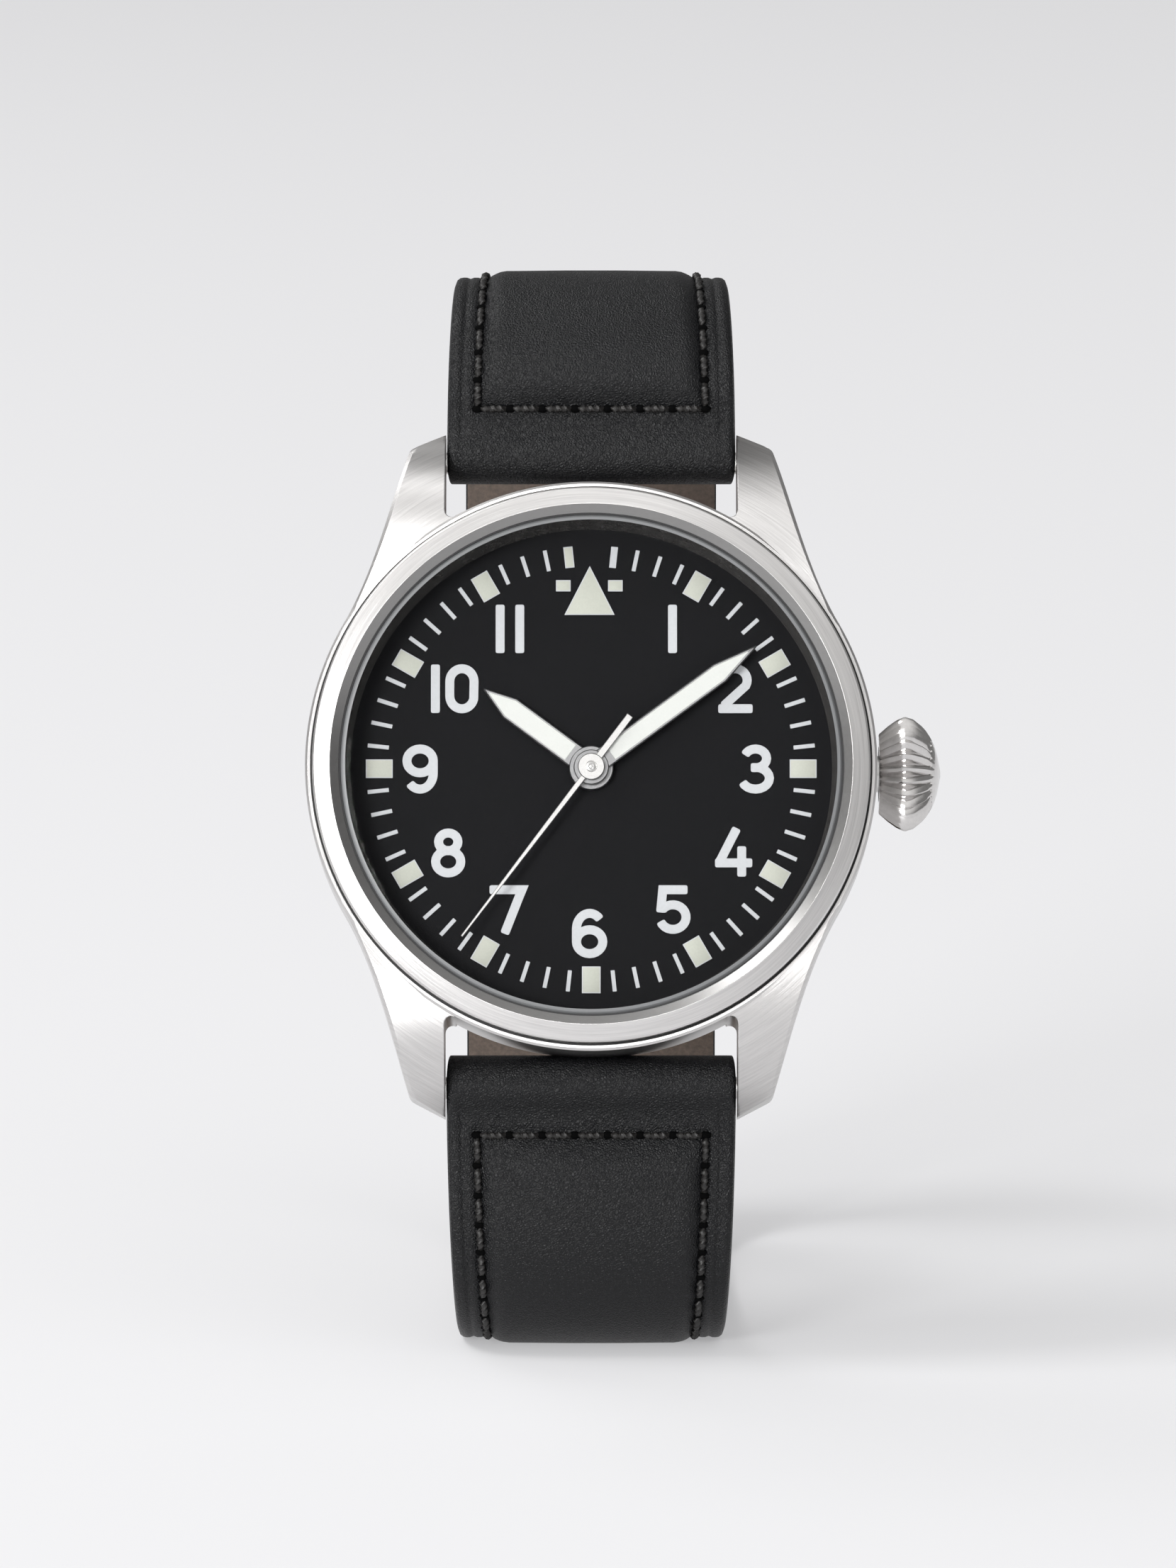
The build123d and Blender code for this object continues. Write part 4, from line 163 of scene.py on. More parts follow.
for name, place, size, power in (("window_left", (-0.75, -0.25, 1.15), (0.4, 0.4), 6.0),
                                 ("window_front", (-0.5, -1.1, 0.32), (0.34, 0.34), 9.5),
                                 ("window_behind", (-0.7, 0.8, 1.0), (0.7, 0.4), 3.4)):
    pane = bpy.data.lights.new(name, "AREA")
    pane.shape = "RECTANGLE"
    pane.size, pane.size_y = size
    pane.energy = power
    lamp = placed(name, pane)
    lamp.location = place
    lamp.rotation_euler = (DIAL_CENTRE - Vector(place)).to_track_quat("-Z", "Y").to_euler()

# The case: one block of steel with four lugs, its upper side and lugs brushed round the dial in fine lines, with
# its sharp rims just broken. The head's own millimetres lie in the plane of the dial, 12 up and the dial facing out.
HEAD_LEAN = math.radians(76.0)
HEAD = Matrix.Translation(DIAL_CENTRE) @ Matrix.Rotation(HEAD_LEAN, 4, "X") @ Matrix.Scale(0.001, 4)
STEEL = (0.68, 0.668, 0.66)
MARKS_ROUGHNESS = 0.65
MARKS_TONES_AT = (0.3, 0.7)
TURNED_GLEAM = 0.7
RING_STEPS = 192
CASE_R = 19.5
RIM_HIGH = 2.3
FOOT = -6.0
FOOT_R = 18.4
SIDE_LOW = -4.2
CASE_RING = [(17.05, FOOT), (FOOT_R, FOOT), (CASE_R, SIDE_LOW), (CASE_R, 2.14), (19.34, RIM_HIGH), (19.16, RIM_HIGH),
             (19.16, 2.0), (17.42, 2.0), (17.42, 1.95), (17.05, 1.95)]
LUG_IN_R = 19.17
LUG_IN_SWEEP = (25.0, 61.6, 24)
LUG_OUT_R = 19.46
LUG_OUT_SWEEP = (26.0, 28.0, 1)
LUG_IN = 10.0
LUG_IN_Y = 17.6
LUG_IN_ROUND = 0.5
LUG_IN_TURN = (-118.4, 0.0, 6)
LUG_TIP_Y = 23.54
LUG_TIP_ROUND = 0.75
LUG_TIP_TURN = (16.0, 66.0, 8)
LUG_CHAMFER = 0.25
LUG_EDGE = 0.06
LUG_FOOT_EDGE = 0.1
LUG_PROUD = 0.003
LUG_FOOT_PROUD = 0.01
LUG_ROOT = math.radians(30.0)
LUG_ROOT_PULL = 4.2
LUG_BULGE = Vector((13.84, 17.5))
LUG_SHOULDER = Vector((12.5, 21.95))
LUG_TIP = (11.78, 21.744)
LUG_CURVE_STEPS = 45
LUG_LEVEL_Y = 13.5
LUG_FALL = 0.0281
LUG_STEEPER = 0.000353
LUG_FOOT_Y = 15.0
LUG_FOOT_RUN = 6.4
LUG_FOOT_DROP = 1.0
LUG_FOOT_TIP_RISE = 0.2
LUG_FOOT_STEPS = 30
LUG_ACROSS = 12


def head_place(nodes):
    """The shader's point in the head's own millimetres."""
    seat = add(nodes, "Mapping", {"Vector": add(nodes, "TexCoord").outputs["Object"], "Location": DIAL_CENTRE,
                                  "Rotation": (HEAD_LEAN, 0.0, 0.0), "Scale": (0.001, 0.001, 0.001)})
    seat.vector_type = "TEXTURE"
    return seat


def tones(nodes, share, spots, colours):
    """The colour at that share of the way between two colours."""
    ramp = add(nodes, "ValToRGB", {"Fac": share})
    for element, spot, colour in zip(ramp.color_ramp.elements, spots, colours):
        element.position = spot
        element.color = colour + (1.0,)
    return ramp


def finish(name, colour, roughness, metallic=1.0, lines=1.0, turned=False, spread=0.1, shade=0.06, height=0.004,
           detail=4.0):
    """A worked surface. lines is how fine its marks are per millimetre, alike every way, or along x, y and z of the
    head, or where it is turned along the radius, round the ring and along the axis."""
    material, nodes, skin = blank(name)
    place = head_place(nodes)
    if turned:
        flat = add(nodes, "SeparateXYZ", {0: place}).outputs
        radius = add(nodes, "VectorMath", {0: add(nodes, "CombineXYZ", {0: flat["X"], 1: flat["Y"]})}, "LENGTH")
        round_ring = add(nodes, "Math", {0: flat["Y"], 1: flat["X"]}, "ARCTAN2")
        place = add(nodes, "CombineXYZ", {0: radius.outputs["Value"], 1: round_ring, 2: flat["Z"]})
        from_axis = add(nodes, "VectorMath", {0: add(nodes, "TexCoord").outputs["Object"], 1: DIAL_CENTRE}, "SUBTRACT")
        along_lines = add(nodes, "VectorMath", {0: HEAD.col[2].xyz.normalized(), 1: from_axis}, "CROSS_PRODUCT")
        feed(skin, {"Tangent": along_lines, "Anisotropic": TURNED_GLEAM})
    stretch = add(nodes, "Mapping", {"Vector": place, "Scale": lines if isinstance(lines, tuple) else (lines,) * 3})
    marks = add(nodes, "TexNoise", {"Vector": stretch, "Scale": 1.0, "Detail": detail, "Roughness": MARKS_ROUGHNESS})
    tone = tones(nodes, marks, MARKS_TONES_AT, [tuple(min(1.0, c * change) for c in colour)
                                                for change in (1.0 - shade, 1.0 + shade)])
    polish = add(nodes, "MapRange", {"Value": marks, "To Min": roughness - spread / 2,
                                     "To Max": roughness + spread / 2})
    relief = add(nodes, "Bump", {"Height": marks, "Strength": 1.0, "Distance": height / 1000.0})
    feed(skin, {"Base Color": tone, "Metallic": metallic, "Roughness": polish, "Normal": relief})
    return material


def show(name, bm, materials, body, nodes, smooth=32.0):
    """The finished mesh as a piece that rides on body and stands for those nodes."""
    mesh = mesh_of(name, bm)
    for face in mesh.polygons:
        face.use_smooth = True
    mesh.set_sharp_from_angle(angle=math.radians(smooth))
    for material in materials:
        mesh.materials.append(material)
    piece = placed(name, mesh)
    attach(piece, body)
    if nodes:
        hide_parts(*nodes)
    return piece


def broken_edges(piece, width, angle=32.0, steps=2):
    """Every rim of the piece sharper than angle rounded to that width in millimetres."""
    rounding = piece.modifiers.new("broken_edges", "BEVEL")
    rounding.width = width / 1000.0
    rounding.segments = steps
    rounding.limit_method = "ANGLE"
    rounding.angle_limit = math.radians(angle)
    rounding.harden_normals = True


def seated(bm, joined=True):
    """Joins the mesh's surfaces, turns them outwards and moves them from the head's millimetres to their place."""
    if joined:
        bmesh.ops.remove_doubles(bm, verts=bm.verts, dist=1e-4)
    bmesh.ops.recalc_face_normals(bm, faces=bm.faces)
    bmesh.ops.transform(bm, matrix=HEAD, verts=bm.verts)
    return bm


def turned_on_axis(bm, outline, steps, closed):
    """Turns an outline of (radius, height) corners all the way round the head's axis."""
    corners = [bm.verts.new((radius, 0.0, height)) for radius, height in outline]
    following = corners[1:] + (corners[:1] if closed else [])
    edges = [bm.edges.new(pair) for pair in zip(corners, following)]
    bmesh.ops.spin(bm, geom=corners + edges, cent=(0, 0, 0), axis=(0, 0, 1), dvec=(0, 0, 0), angle=math.tau,
                   steps=steps, use_merge=True)


def ring(outline):
    """A closed outline of (radius, height) corners turned into a whole ring."""
    bm = bmesh.new()
    turned_on_axis(bm, outline, RING_STEPS, closed=True)
    return seated(bm)


def drawn(bm, rings):
    """Draws a closed tube on from ring to ring, each given as the points round it, and fills both ends."""
    mark_at = bm.verts.layers.int.get("round") or bm.verts.layers.int.new("round")
    verts = bmesh.ops.create_circle(bm, segments=len(rings[0]), radius=1.0)["verts"]
    for k, vert in enumerate(verts):
        vert[mark_at] = k
    first = edges = list(dict.fromkeys(edge for vert in verts for edge in vert.link_edges))
    for step, points in enumerate(rings):
        if step:
            fresh = bmesh.ops.extrude_edge_only(bm, edges=edges)["geom"]
            verts = [item for item in fresh if isinstance(item, bmesh.types.BMVert)]
            within = set(verts)
            edges = [item for item in fresh if isinstance(item, bmesh.types.BMEdge)
                     and item.verts[0] in within and item.verts[1] in within]
        for vert in verts:
            vert.co = points[vert[mark_at]]
    bmesh.ops.holes_fill(bm, edges=first + edges, sides=0)


def eased(share):
    """From 0 to 1 with a gentle start and end."""
    share = min(max(share, 0.0), 1.0)
    return share * share * (3.0 - 2.0 * share)


def arc(x, y, wide, high, start, end, steps=14):
    """Points round an ellipse from one angle to another, in degrees from 3 o'clock."""
    sweep = [math.radians(start + (end - start) * k / steps) for k in range(steps + 1)]
    return [(x + wide * math.cos(a), y + high * math.sin(a)) for a in sweep]


def lug_edges():
    """The paired points of a lug's inner and outer edge, from its root in the ring to its slanted tip."""
    inner = arc(0, 0, LUG_IN_R, LUG_IN_R, *LUG_IN_SWEEP)
    inner += arc(LUG_IN - LUG_IN_ROUND, LUG_IN_Y, LUG_IN_ROUND, LUG_IN_ROUND, *LUG_IN_TURN)
    inner += [(LUG_IN, LUG_IN_Y + (LUG_TIP_Y - LUG_IN_Y) * k / 24) for k in range(1, 25)]
    root = Vector((CASE_R * math.cos(LUG_ROOT), CASE_R * math.sin(LUG_ROOT)))
    a, b, c, d = (root, root + LUG_ROOT_PULL * Vector((-math.sin(LUG_ROOT), math.cos(LUG_ROOT))),
                  LUG_BULGE, LUG_SHOULDER)
    outer = arc(0, 0, LUG_OUT_R, LUG_OUT_R, *LUG_OUT_SWEEP)
    for k in range(LUG_CURVE_STEPS + 1):
        s = k / LUG_CURVE_STEPS
        outer.append(a * (1 - s) ** 3 + b * 3 * s * (1 - s) ** 2 + c * 3 * s * s * (1 - s) + d * s ** 3)
    outer += arc(*LUG_TIP, LUG_TIP_ROUND, LUG_TIP_ROUND, *LUG_TIP_TURN)[1:]
    return [(Vector(one), Vector(other)) for one, other in zip(inner, outer)]


def lug_top(flat):
    """The height of the lug's upper side, level at its root and falling ever more steeply to the tip."""
    past = max(flat.y - LUG_LEVEL_Y, 0.0) ** 2
    return RIM_HIGH + LUG_PROUD - past * (LUG_FALL + LUG_STEEPER * past)


def lug_foot(flat, step):
    """The height of the lug's underside, which leaves the ring's sloping foot over the first steps."""
    low = FOOT + LUG_FOOT_PROUD - LUG_FOOT_DROP * min(max(flat.y - LUG_FOOT_Y, 0.0) / LUG_FOOT_RUN, 1.0)
    low += max(flat.y - LUG_FOOT_Y - LUG_FOOT_RUN, 0.0) * LUG_FOOT_TIP_RISE
    slope = (SIDE_LOW - FOOT) / (CASE_R - FOOT_R)
    ring_foot = FOOT + LUG_FOOT_PROUD + (min(flat.length, CASE_R) - FOOT_R) * slope
    return low + max(ring_foot - low, 0.0) * (1.0 - eased(step / LUG_FOOT_STEPS))


lugs = bmesh.new()
for hand_x, hand_y in ((1, 1), (-1, 1), (-1, -1), (1, -1)):
    rings = []
    for step, (inner, outer) in enumerate(lug_edges()):
        wide = (outer - inner).length
        edge, cut = LUG_EDGE / wide, LUG_CHAMFER / wide
        across = [edge + (1.0 - cut - edge) * k / LUG_ACROSS for k in range(LUG_ACROSS + 1)]
        points = []
        for share, lift in [(0.0, -LUG_EDGE)] + [(share, 0.0) for share in across] + [(1.0, -LUG_CHAMFER)]:
            flat = inner.lerp(outer, share)
            points.append((hand_x * flat.x, hand_y * flat.y, lug_top(flat) + lift))
        for share, lift in (1.0, LUG_FOOT_EDGE), (1.0 - LUG_FOOT_EDGE / wide, 0.0), (0.0, 0.0):
            flat = inner.lerp(outer, share)
            points.append((hand_x * flat.x, hand_y * flat.y, lug_foot(flat, step) + lift))
        rings.append(points)
    drawn(lugs, rings)
lug_mesh = mesh_of("lugs", seated(lugs, joined=False))
bm = ring(CASE_RING)
bm.from_mesh(lug_mesh)
bpy.data.meshes.remove(lug_mesh)
lug_brushed = finish("brushed_round_steel", STEEL, 0.4, lines=(9.0, 4.0, 0.5), turned=True, shade=0.11, height=0.01)
case = show("case_brushed", bm, [lug_brushed], "case", ["case_middle"], smooth=28.0)
broken_edges(case, 0.04, angle=28.0)

# The bezel: a ring turned from steel and pressed over the case, brushed round and round on its flat top, with a
# smoother slope down to the crystal whose steel is painted darker as painted shade, and a fine groove where it meets
# the case, darkened by the painted-shade ring below.
BEZEL = [(17.42, 2.0), (17.42, 3.22), (17.2, 3.22), (17.2, 3.28), (17.8, 3.72), (18.9, 3.35), (19.0, 3.25), (19.0, 2.0)]
BEZEL_SLOPE = (17.2, 17.8, 3.25)
turned_steel = finish("turned_steel", (0.7, 0.688, 0.68), 0.34, lines=(9.0, 2.5, 9.0), turned=True, shade=0.13,
                      height=0.007)
# The slope's steel is painted far darker than the bezel's top. This is painted shade, not a different steel.
slope_painted_shade = finish("bezel_slope_painted_shade", (0.3, 0.296, 0.292), 0.34, lines=3.0, shade=0.03, height=0.001)


def second_finish(bm, inner, outer, above):
    """Gives the faces between those radii and above that height the piece's second material."""
    to_head = HEAD.inverted()
    for face in bm.faces:
        middle = to_head @ face.calc_center_median()
        if inner < middle.xy.length < outer and middle.z > above:
            face.material_index = 1
    return bm


bm = second_finish(ring(BEZEL), *BEZEL_SLOPE)
bezel = show("bezel_brushed", bm, [turned_steel, slope_painted_shade], "case", ["bezel"], smooth=12.0)
broken_edges(bezel, 0.05, angle=12.0)

# The groove's shade: a thin black ring laid in the groove between bezel and case, painted shade that is seen as the
# fine dark line round the bezel.
groove_shade_black = finish("groove_painted_shade", (0.006, 0.006, 0.006), 0.6, metallic=0.0, lines=6.0)
show("bezel_groove_shade_ring", ring([(19.01, 2.02), (19.14, 2.02), (19.14, 2.2), (19.01, 2.2)]), [groove_shade_black], "case",
     [])

# The crystal: a thick disc of sapphire, a little domed, polished all over and coated against reflections, with a
# ground rim that shows as a pale line inside the bezel.
CRYSTAL_R = 17.1
COATED_IOR = 1.07
CRYSTAL = [(0.0, 1.95), (0.0, 3.55), (4.0, 3.537), (8.0, 3.5), (12.0, 3.43), (16.0, 3.33), (16.75, 3.3), (16.95, 3.22),
           (CRYSTAL_R, 3.05), (CRYSTAL_R, 1.95)]
CRYSTAL_RIM = (16.76, CRYSTAL_R, 3.06)
glass, nodes, plain_skin = blank("coated_sapphire")
nodes.remove(plain_skin)
edge_gloss = add(nodes, "Fresnel", {"IOR": COATED_IOR})
polish_layer = add(nodes, "BsdfAnisotropic", {"Roughness": 0.03})
gloss_or_clear = add(nodes, "MixShader", {0: edge_gloss, 1: add(nodes, "BsdfTransparent"), 2: polish_layer})
feed(nodes["Material Output"], {"Surface": gloss_or_clear})
ground_rim = finish("ground_sapphire_rim", (0.2, 0.205, 0.21), 0.4, metallic=0.0, lines=(9.0, 2.0, 9.0), turned=True,
                    height=0.002)
bm = second_finish(ring(CRYSTAL), *CRYSTAL_RIM)
show("crystal_domed", bm, [glass, ground_rim], "case", ["crystal"], smooth=20.0)

# The gaskets: rings moulded from black rubber. The one between crystal and bezel is seen through the crystal's
# rim, and those of the case back and the crown are hidden in the case.
GASKET = [(17.1, 2.0), (17.1, 3.2), (17.4, 3.2), (17.4, 2.0)]


def dress(names, material):
    """Gives the machined parts of those names that material."""
    for node in names.split():
        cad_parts[node].material_slots[0].material = material


rubber = finish("gasket_rubber", (0.008, 0.008, 0.009), 0.5, metallic=0.0, lines=6.0, shade=0.3)
show("crystal_gasket_moulded", ring(GASKET), [rubber], "case", ["crystal_gasket"])
dress("case_back_gasket crown_gasket", rubber)

# The rehaut: the sloping ring between dial and crystal, turned from brass and lacquered gloss black.
# It stands on the rim of the dial.
REHAUT = [(16.45, 0.03), (16.9, 1.9), (17.0, 1.9), (17.0, 0.03)]
gloss_black = finish("gloss_black_lacquer", (0.06, 0.058, 0.056), 0.24, metallic=0.0, lines=2.0, spread=0.05,
                     shade=0.2, height=0.0006)
show("rehaut_turned", ring(REHAUT), [gloss_black], "case", ["rehaut_ring"], smooth=25.0)

# The dial: a thin brass disc with a fine matte black coat. The pipes of the hands come through the hole in
# its middle.
DIAL_R = 16.95
DIAL_THICK = 0.4
DIAL_HOLE_R = 1.15
matte_black = finish("matte_black_coat", (0.003, 0.0031, 0.0041), 0.62, metallic=0.0, lines=24.0, spread=0.12,
                     shade=0.35, height=0.006)
matte_black.node_tree.nodes["Principled BSDF"].inputs["Specular IOR Level"].default_value = 0.12
show("dial_disc", ring([(DIAL_HOLE_R, -DIAL_THICK), (DIAL_HOLE_R, 0.0), (DIAL_R, 0.0), (DIAL_R, -DIAL_THICK)]),
     [matte_black], "case", ["dial"])

# The print: white ink laid on in several passes, so that it stands a hair above the dial. Minute marks round the
# rim, then the hours 1 to 11 in plain round-cornered figures.
PRINT_HIGH = 0.03
PASS_STEP = 0.004
MINUTE_INNER_R = 13.9
MINUTE_OUTER_R = 15.35
MINUTE_WIDTH = 0.27
FIRST_MINUTE_WIDTH = 0.46
FIGURE_STROKE = 0.61
FIGURE_CORNER = 0.13
white_ink = finish("white_ink", (0.52, 0.535, 0.55), 0.55, metallic=0.0, lines=5.0, shade=0.04, height=0.002)


def mark(bm, inner, outer, width, clock):
    """One flat bar from inner to outer, turned to that many degrees past 12."""
    length = outer - inner
    place = (Matrix.Rotation(-math.radians(clock), 4, "Z") @ Matrix.Translation((0, inner + length / 2, 0))
             @ Matrix.Diagonal((width, length, 1, 1)))
    made = bmesh.ops.create_grid(bm, x_segments=1, y_segments=1, size=0.5, matrix=place)
    return list(dict.fromkeys(face for vert in made["verts"] for face in vert.link_faces))


def stroke(bm, line, at, closed, low):
    """A bar of ink along that centre line, mitred where it turns, its ends cut square."""
    points = [Vector(p) for p in line]
    if closed:
        points = points[:-1]
    count = len(points)
    sides = []
    for k, point in enumerate(points):
        legs = []
        if k or closed:
            legs.append((point - points[k - 1]).normalized())
        if k < count - 1 or closed:
            legs.append((points[(k + 1) % count] - point).normalized())
        along = sum(legs, Vector((0.0, 0.0))).normalized()
        reach = min(1.0 / max(along.dot(legs[0]), 0.3), 1.9) * FIGURE_STROKE / 2
        across = Vector((-along.y, along.x)) * reach
        sides.append([bm.verts.new((at[0] + point.x + s * across.x, at[1] + point.y + s * across.y, low))
                      for s in (1, -1)])
    if closed:
        sides.append(sides[0])
    for a, b in zip(sides, sides[1:]):
        bm.faces.new((a[0], a[1], b[1], b[0]))
    if not closed:
        bmesh.ops.bevel(bm, geom=sides[0] + sides[-1], offset=FIGURE_CORNER, offset_type="OFFSET", segments=3,
                        profile=0.5, affect="VERTICES", material=-1)


FIGURES = {
    "0": [(arc(0, 0.5, 0.83, 0.88, 0, 180) + arc(0, -0.5, 0.83, 0.88, 180, 360), True)],
    "1": [([(0, 1.665), (0, -1.665)], False)],
    "2": [(arc(-0.03, 0.58, 0.83, 0.8, 168, -28) + [(-0.84, -1.2)], False), ([(-1.18, -1.37), (1.17, -1.37)], False)],
    "3": [(arc(-0.06, 0.73, 0.76, 0.65, 160, -90), False), (arc(-0.06, -0.63, 0.95, 0.75, 90, -160), False),
          ([(-0.38, 0.1), (0.1, 0.1)], False)],
    "4": [([(0.22, 1.66), (-0.96, -0.66)], False), ([(-1.27, -0.72), (1.27, -0.72)], False),
          ([(0.55, 0.42), (0.55, -1.66)], False)],
    "5": [([(1.0, 1.36), (-0.69, 1.36), (-0.84, -0.2)], False), (arc(0, -0.515, 0.9, 0.845, 148, -160, 20), False)],
    "6": [(arc(0, -0.56, 0.9, 0.82, 0, 360, 24), True), (arc(0, 0.3, 0.9, 1.08, 38, 180) + [(-0.9, -0.56)], False)],
    "7": [([(-1.25, 1.36), (0.97, 1.36), (0.72, 0.75), (-0.22, -1.66)], False)],
    "8": [(arc(0, 0.76, 0.66, 0.61, 0, 360, 20), True), (arc(0, -0.6, 0.86, 0.77, 0, 360, 24), True)],
    "9": [(arc(0, 0.56, 0.9, 0.82, 0, 360, 24), True), (arc(0, -0.3, 0.9, 1.08, 218, 360) + [(0.9, 0.56)], False)],
}
HOURS = {"11": (-5.56, 9.62), "10": (-9.31, 5.5), "9": (-11.69, -0.02), "8": (-9.76, -5.78), "7": (-5.69, -9.66),
         "6": (-0.11, -11.3), "5": (5.57, -9.66), "4": (9.72, -5.74), "3": (11.28, -0.02), "2": (9.86, 5.5),
         "1": (5.56, 9.62)}
FIGURES_APART = {"11": (-0.67, 0.67), "10": (-1.34, 0.47)}
bm = bmesh.new()
for minute in range(60):
    if minute % 5 and minute != 59:
        width = FIRST_MINUTE_WIDTH if minute == 1 else MINUTE_WIDTH
        mark(bm, MINUTE_INNER_R, MINUTE_OUTER_R, width, 6.0 * minute)
for hour, (x, y) in HOURS.items():
    for figure, apart in zip(hour, FIGURES_APART.get(hour, (0.0,))):
        for layer, (line, closed) in enumerate(FIGURES[figure]):
            stroke(bm, line, (x + apart, y), closed, -PASS_STEP * layer)
bmesh.ops.recalc_face_normals(bm, faces=bm.faces)
for face in bm.faces:
    if face.normal.z < 0:
        face.normal_flip()
walls = bmesh.ops.extrude_face_region(bm, geom=list(bm.faces))
bmesh.ops.translate(bm, vec=(0, 0, PRINT_HIGH), verts=[v for v in walls["geom"] if isinstance(v, bmesh.types.BMVert)])
show("dial_print", seated(bm, joined=False), [white_ink], "case", [])

# The luminous marks: thick pale paint laid over a white printed bed that shows as a thin border. Bars at the
# hours, a triangle with two squares at 12, and one short bar beside it.
LUME_BED = 0.08
LUME_BORDER = 0.06
LUME_SLOPE = 0.05
LUME_HIGH = 0.03
HOUR_MARK_WIDTH = 1.27
HOUR_MARK_INNER = 13.56
HOUR_MARK_OUTER = 15.39
SHORT_BAR_WIDTH = 0.63
TRIANGLE = ((-1.83, 10.58), (1.6, 10.58), (-0.1, 13.95))
SQUARES_X = (-1.91, 1.65)
SQUARE_HALF = 0.5
SQUARE_LOW = 12.2
SQUARE_HIGH = 12.97
lume_paint = finish("lume_paint", (0.5, 0.515, 0.45), 0.7, metallic=0.0, lines=7.0, shade=0.035, height=0.01)
bm = bmesh.new()
beds = []
for hour in range(1, 12):
    beds += mark(bm, HOUR_MARK_INNER, HOUR_MARK_OUTER, HOUR_MARK_WIDTH, 30.0 * hour)
beds += mark(bm, MINUTE_INNER_R, MINUTE_OUTER_R, SHORT_BAR_WIDTH, -6.0)
squares = [((x - SQUARE_HALF, SQUARE_LOW), (x + SQUARE_HALF, SQUARE_LOW), (x + SQUARE_HALF, SQUARE_HIGH),
            (x - SQUARE_HALF, SQUARE_HIGH)) for x in SQUARES_X]
for corners in squares + [TRIANGLE]:
    beds.append(bm.faces.new([bm.verts.new((x, y, 0.0)) for x, y in corners]))
raised = bmesh.ops.extrude_face_region(bm, geom=beds)
top = [f for f in raised["geom"] if isinstance(f, bmesh.types.BMFace)]
bmesh.ops.translate(bm, vec=(0, 0, LUME_BED), verts=list(dict.fromkeys(v for f in top for v in f.verts)))
bmesh.ops.inset_individual(bm, faces=top, thickness=LUME_BORDER, depth=0.0, use_even_offset=True)
painted = bmesh.ops.inset_individual(bm, faces=top, thickness=LUME_SLOPE, depth=LUME_HIGH, use_even_offset=True)
for face in top + painted["faces"]:
    face.material_index = 1
show("lume_marks", seated(bm, joined=False), [white_ink, lume_paint], "case", ["lume_plots"])

# The hour and minute hands: stamped from steel with bevelled rims, a long window filled with luminous paint and a
# solid point. The seconds hand is one brushed needle with a plain tail.
HOUR_CLOCK = 306.5
MINUTE_CLOCK = 53.6
SECONDS_CLOCK = 217.2
HAND_THICK = 0.2
HAND_START = 0.9
HAND_RIM = 0.07
HAND_POINT = 0.1
HAND_RAIL = 0.155
PAINT_RIM = 0.03
PAINT_LIFT = 0.05
PAINT_POINT = 0.06
HUB_STEPS = 64
HUB_STAND = 0.07
HUB_BEVEL = 0.06
SECONDS_LOW = 1.4
SECONDS_HIGH = 1.55
SECONDS_REACH = 14.6
SECONDS_TAIL = -4.4
SECONDS_HUB = [(0.2, SECONDS_LOW), (0.91, SECONDS_LOW), (0.91, 1.58), (0.86, 1.63), (0.4, 1.63), (0.37, 1.6),
               (0.33, 1.66), (0.2, 1.7), (0.12, 1.66), (0.0, 1.68)]
hand_steel = finish("hand_steel", (0.34, 0.34, 0.345), 0.3, lines=12.0, shade=0.1, height=0.002)
needle_steel = finish("needle_steel", (0.6, 0.595, 0.585), 0.33, lines=10.0, shade=0.08, height=0.002)
hand_paint = finish("hand_paint", (0.64, 0.655, 0.625), 0.65, metallic=0.0, lines=7.0, shade=0.02, height=0.006)


def hand_plate(bm, half_outline, low, high, clock, rim):
    """A flat hand pointing up, its top rim bevelled, turned to its place on the clock. Its outline is mirrored."""
    turn = Matrix.Rotation(-math.radians(clock), 4, "Z")
    outline = half_outline + [(-x, y) for x, y in reversed(half_outline)]
    face = bm.faces.new([bm.verts.new(turn @ Vector((x, y, low))) for x, y in outline])
    raised = bmesh.ops.extrude_face_region(bm, geom=[face])
    top = [f for f in raised["geom"] if isinstance(f, bmesh.types.BMFace)][0]
    bmesh.ops.translate(bm, vec=(0, 0, high - low - rim), verts=top.verts)
    bmesh.ops.inset_individual(bm, faces=[top], thickness=rim * 1.1, depth=rim, use_even_offset=True)


for name, body, clock, low, width, shoulder, length, bore_r, boss_r, paint_start in (
        ("hour", "hours", HOUR_CLOCK, 0.45, 1.6, 6.9, 9.1, 0.93, 1.51, 1.75),
        ("minute", "minutes", MINUTE_CLOCK, 0.95, 1.45, 10.9, 14.0, 0.45, 1.2, 1.65)):
    high = low + HAND_THICK
    bm = bmesh.new()
    hand_plate(bm, [(width / 2, HAND_START), (width / 2, shoulder), (HAND_POINT / 2, length)], low, high, clock,
               HAND_RIM)
    turned_on_axis(bm, [(bore_r, low), (boss_r, low), (boss_r, high + HUB_STAND - HUB_BEVEL),
                        (boss_r - HUB_BEVEL, high + HUB_STAND), (bore_r, high + HUB_STAND), (bore_r, low)],
                   HUB_STEPS, closed=False)
    show(name + "_hand_stamped", seated(bm), [hand_steel], body, [name + "_hand"], smooth=25.0)
    window = width / 2 - HAND_RAIL
    window_end = shoulder + (length - shoulder) * window / (width / 2)
    bm = bmesh.new()
    hand_plate(bm, [(window, paint_start), (window, shoulder - 0.05), (PAINT_POINT / 2, window_end)],
               low + PAINT_LIFT, high + PAINT_RIM, clock, PAINT_RIM)
    show(name + "_hand_paint", seated(bm), [hand_paint], body, [name + "_hand_lume"])

bm = bmesh.new()
for half_outline in ([(0.19, 0.0), (0.075, SECONDS_REACH)], [(0.23, SECONDS_TAIL), (0.23, 0.0)]):
    hand_plate(bm, half_outline, SECONDS_LOW, SECONDS_HIGH, SECONDS_CLOCK, 0.03)
turned_on_axis(bm, SECONDS_HUB, HUB_STEPS, closed=False)
show("seconds_hand_needle", seated(bm), [needle_steel], "seconds", ["seconds_hand"], smooth=25.0)

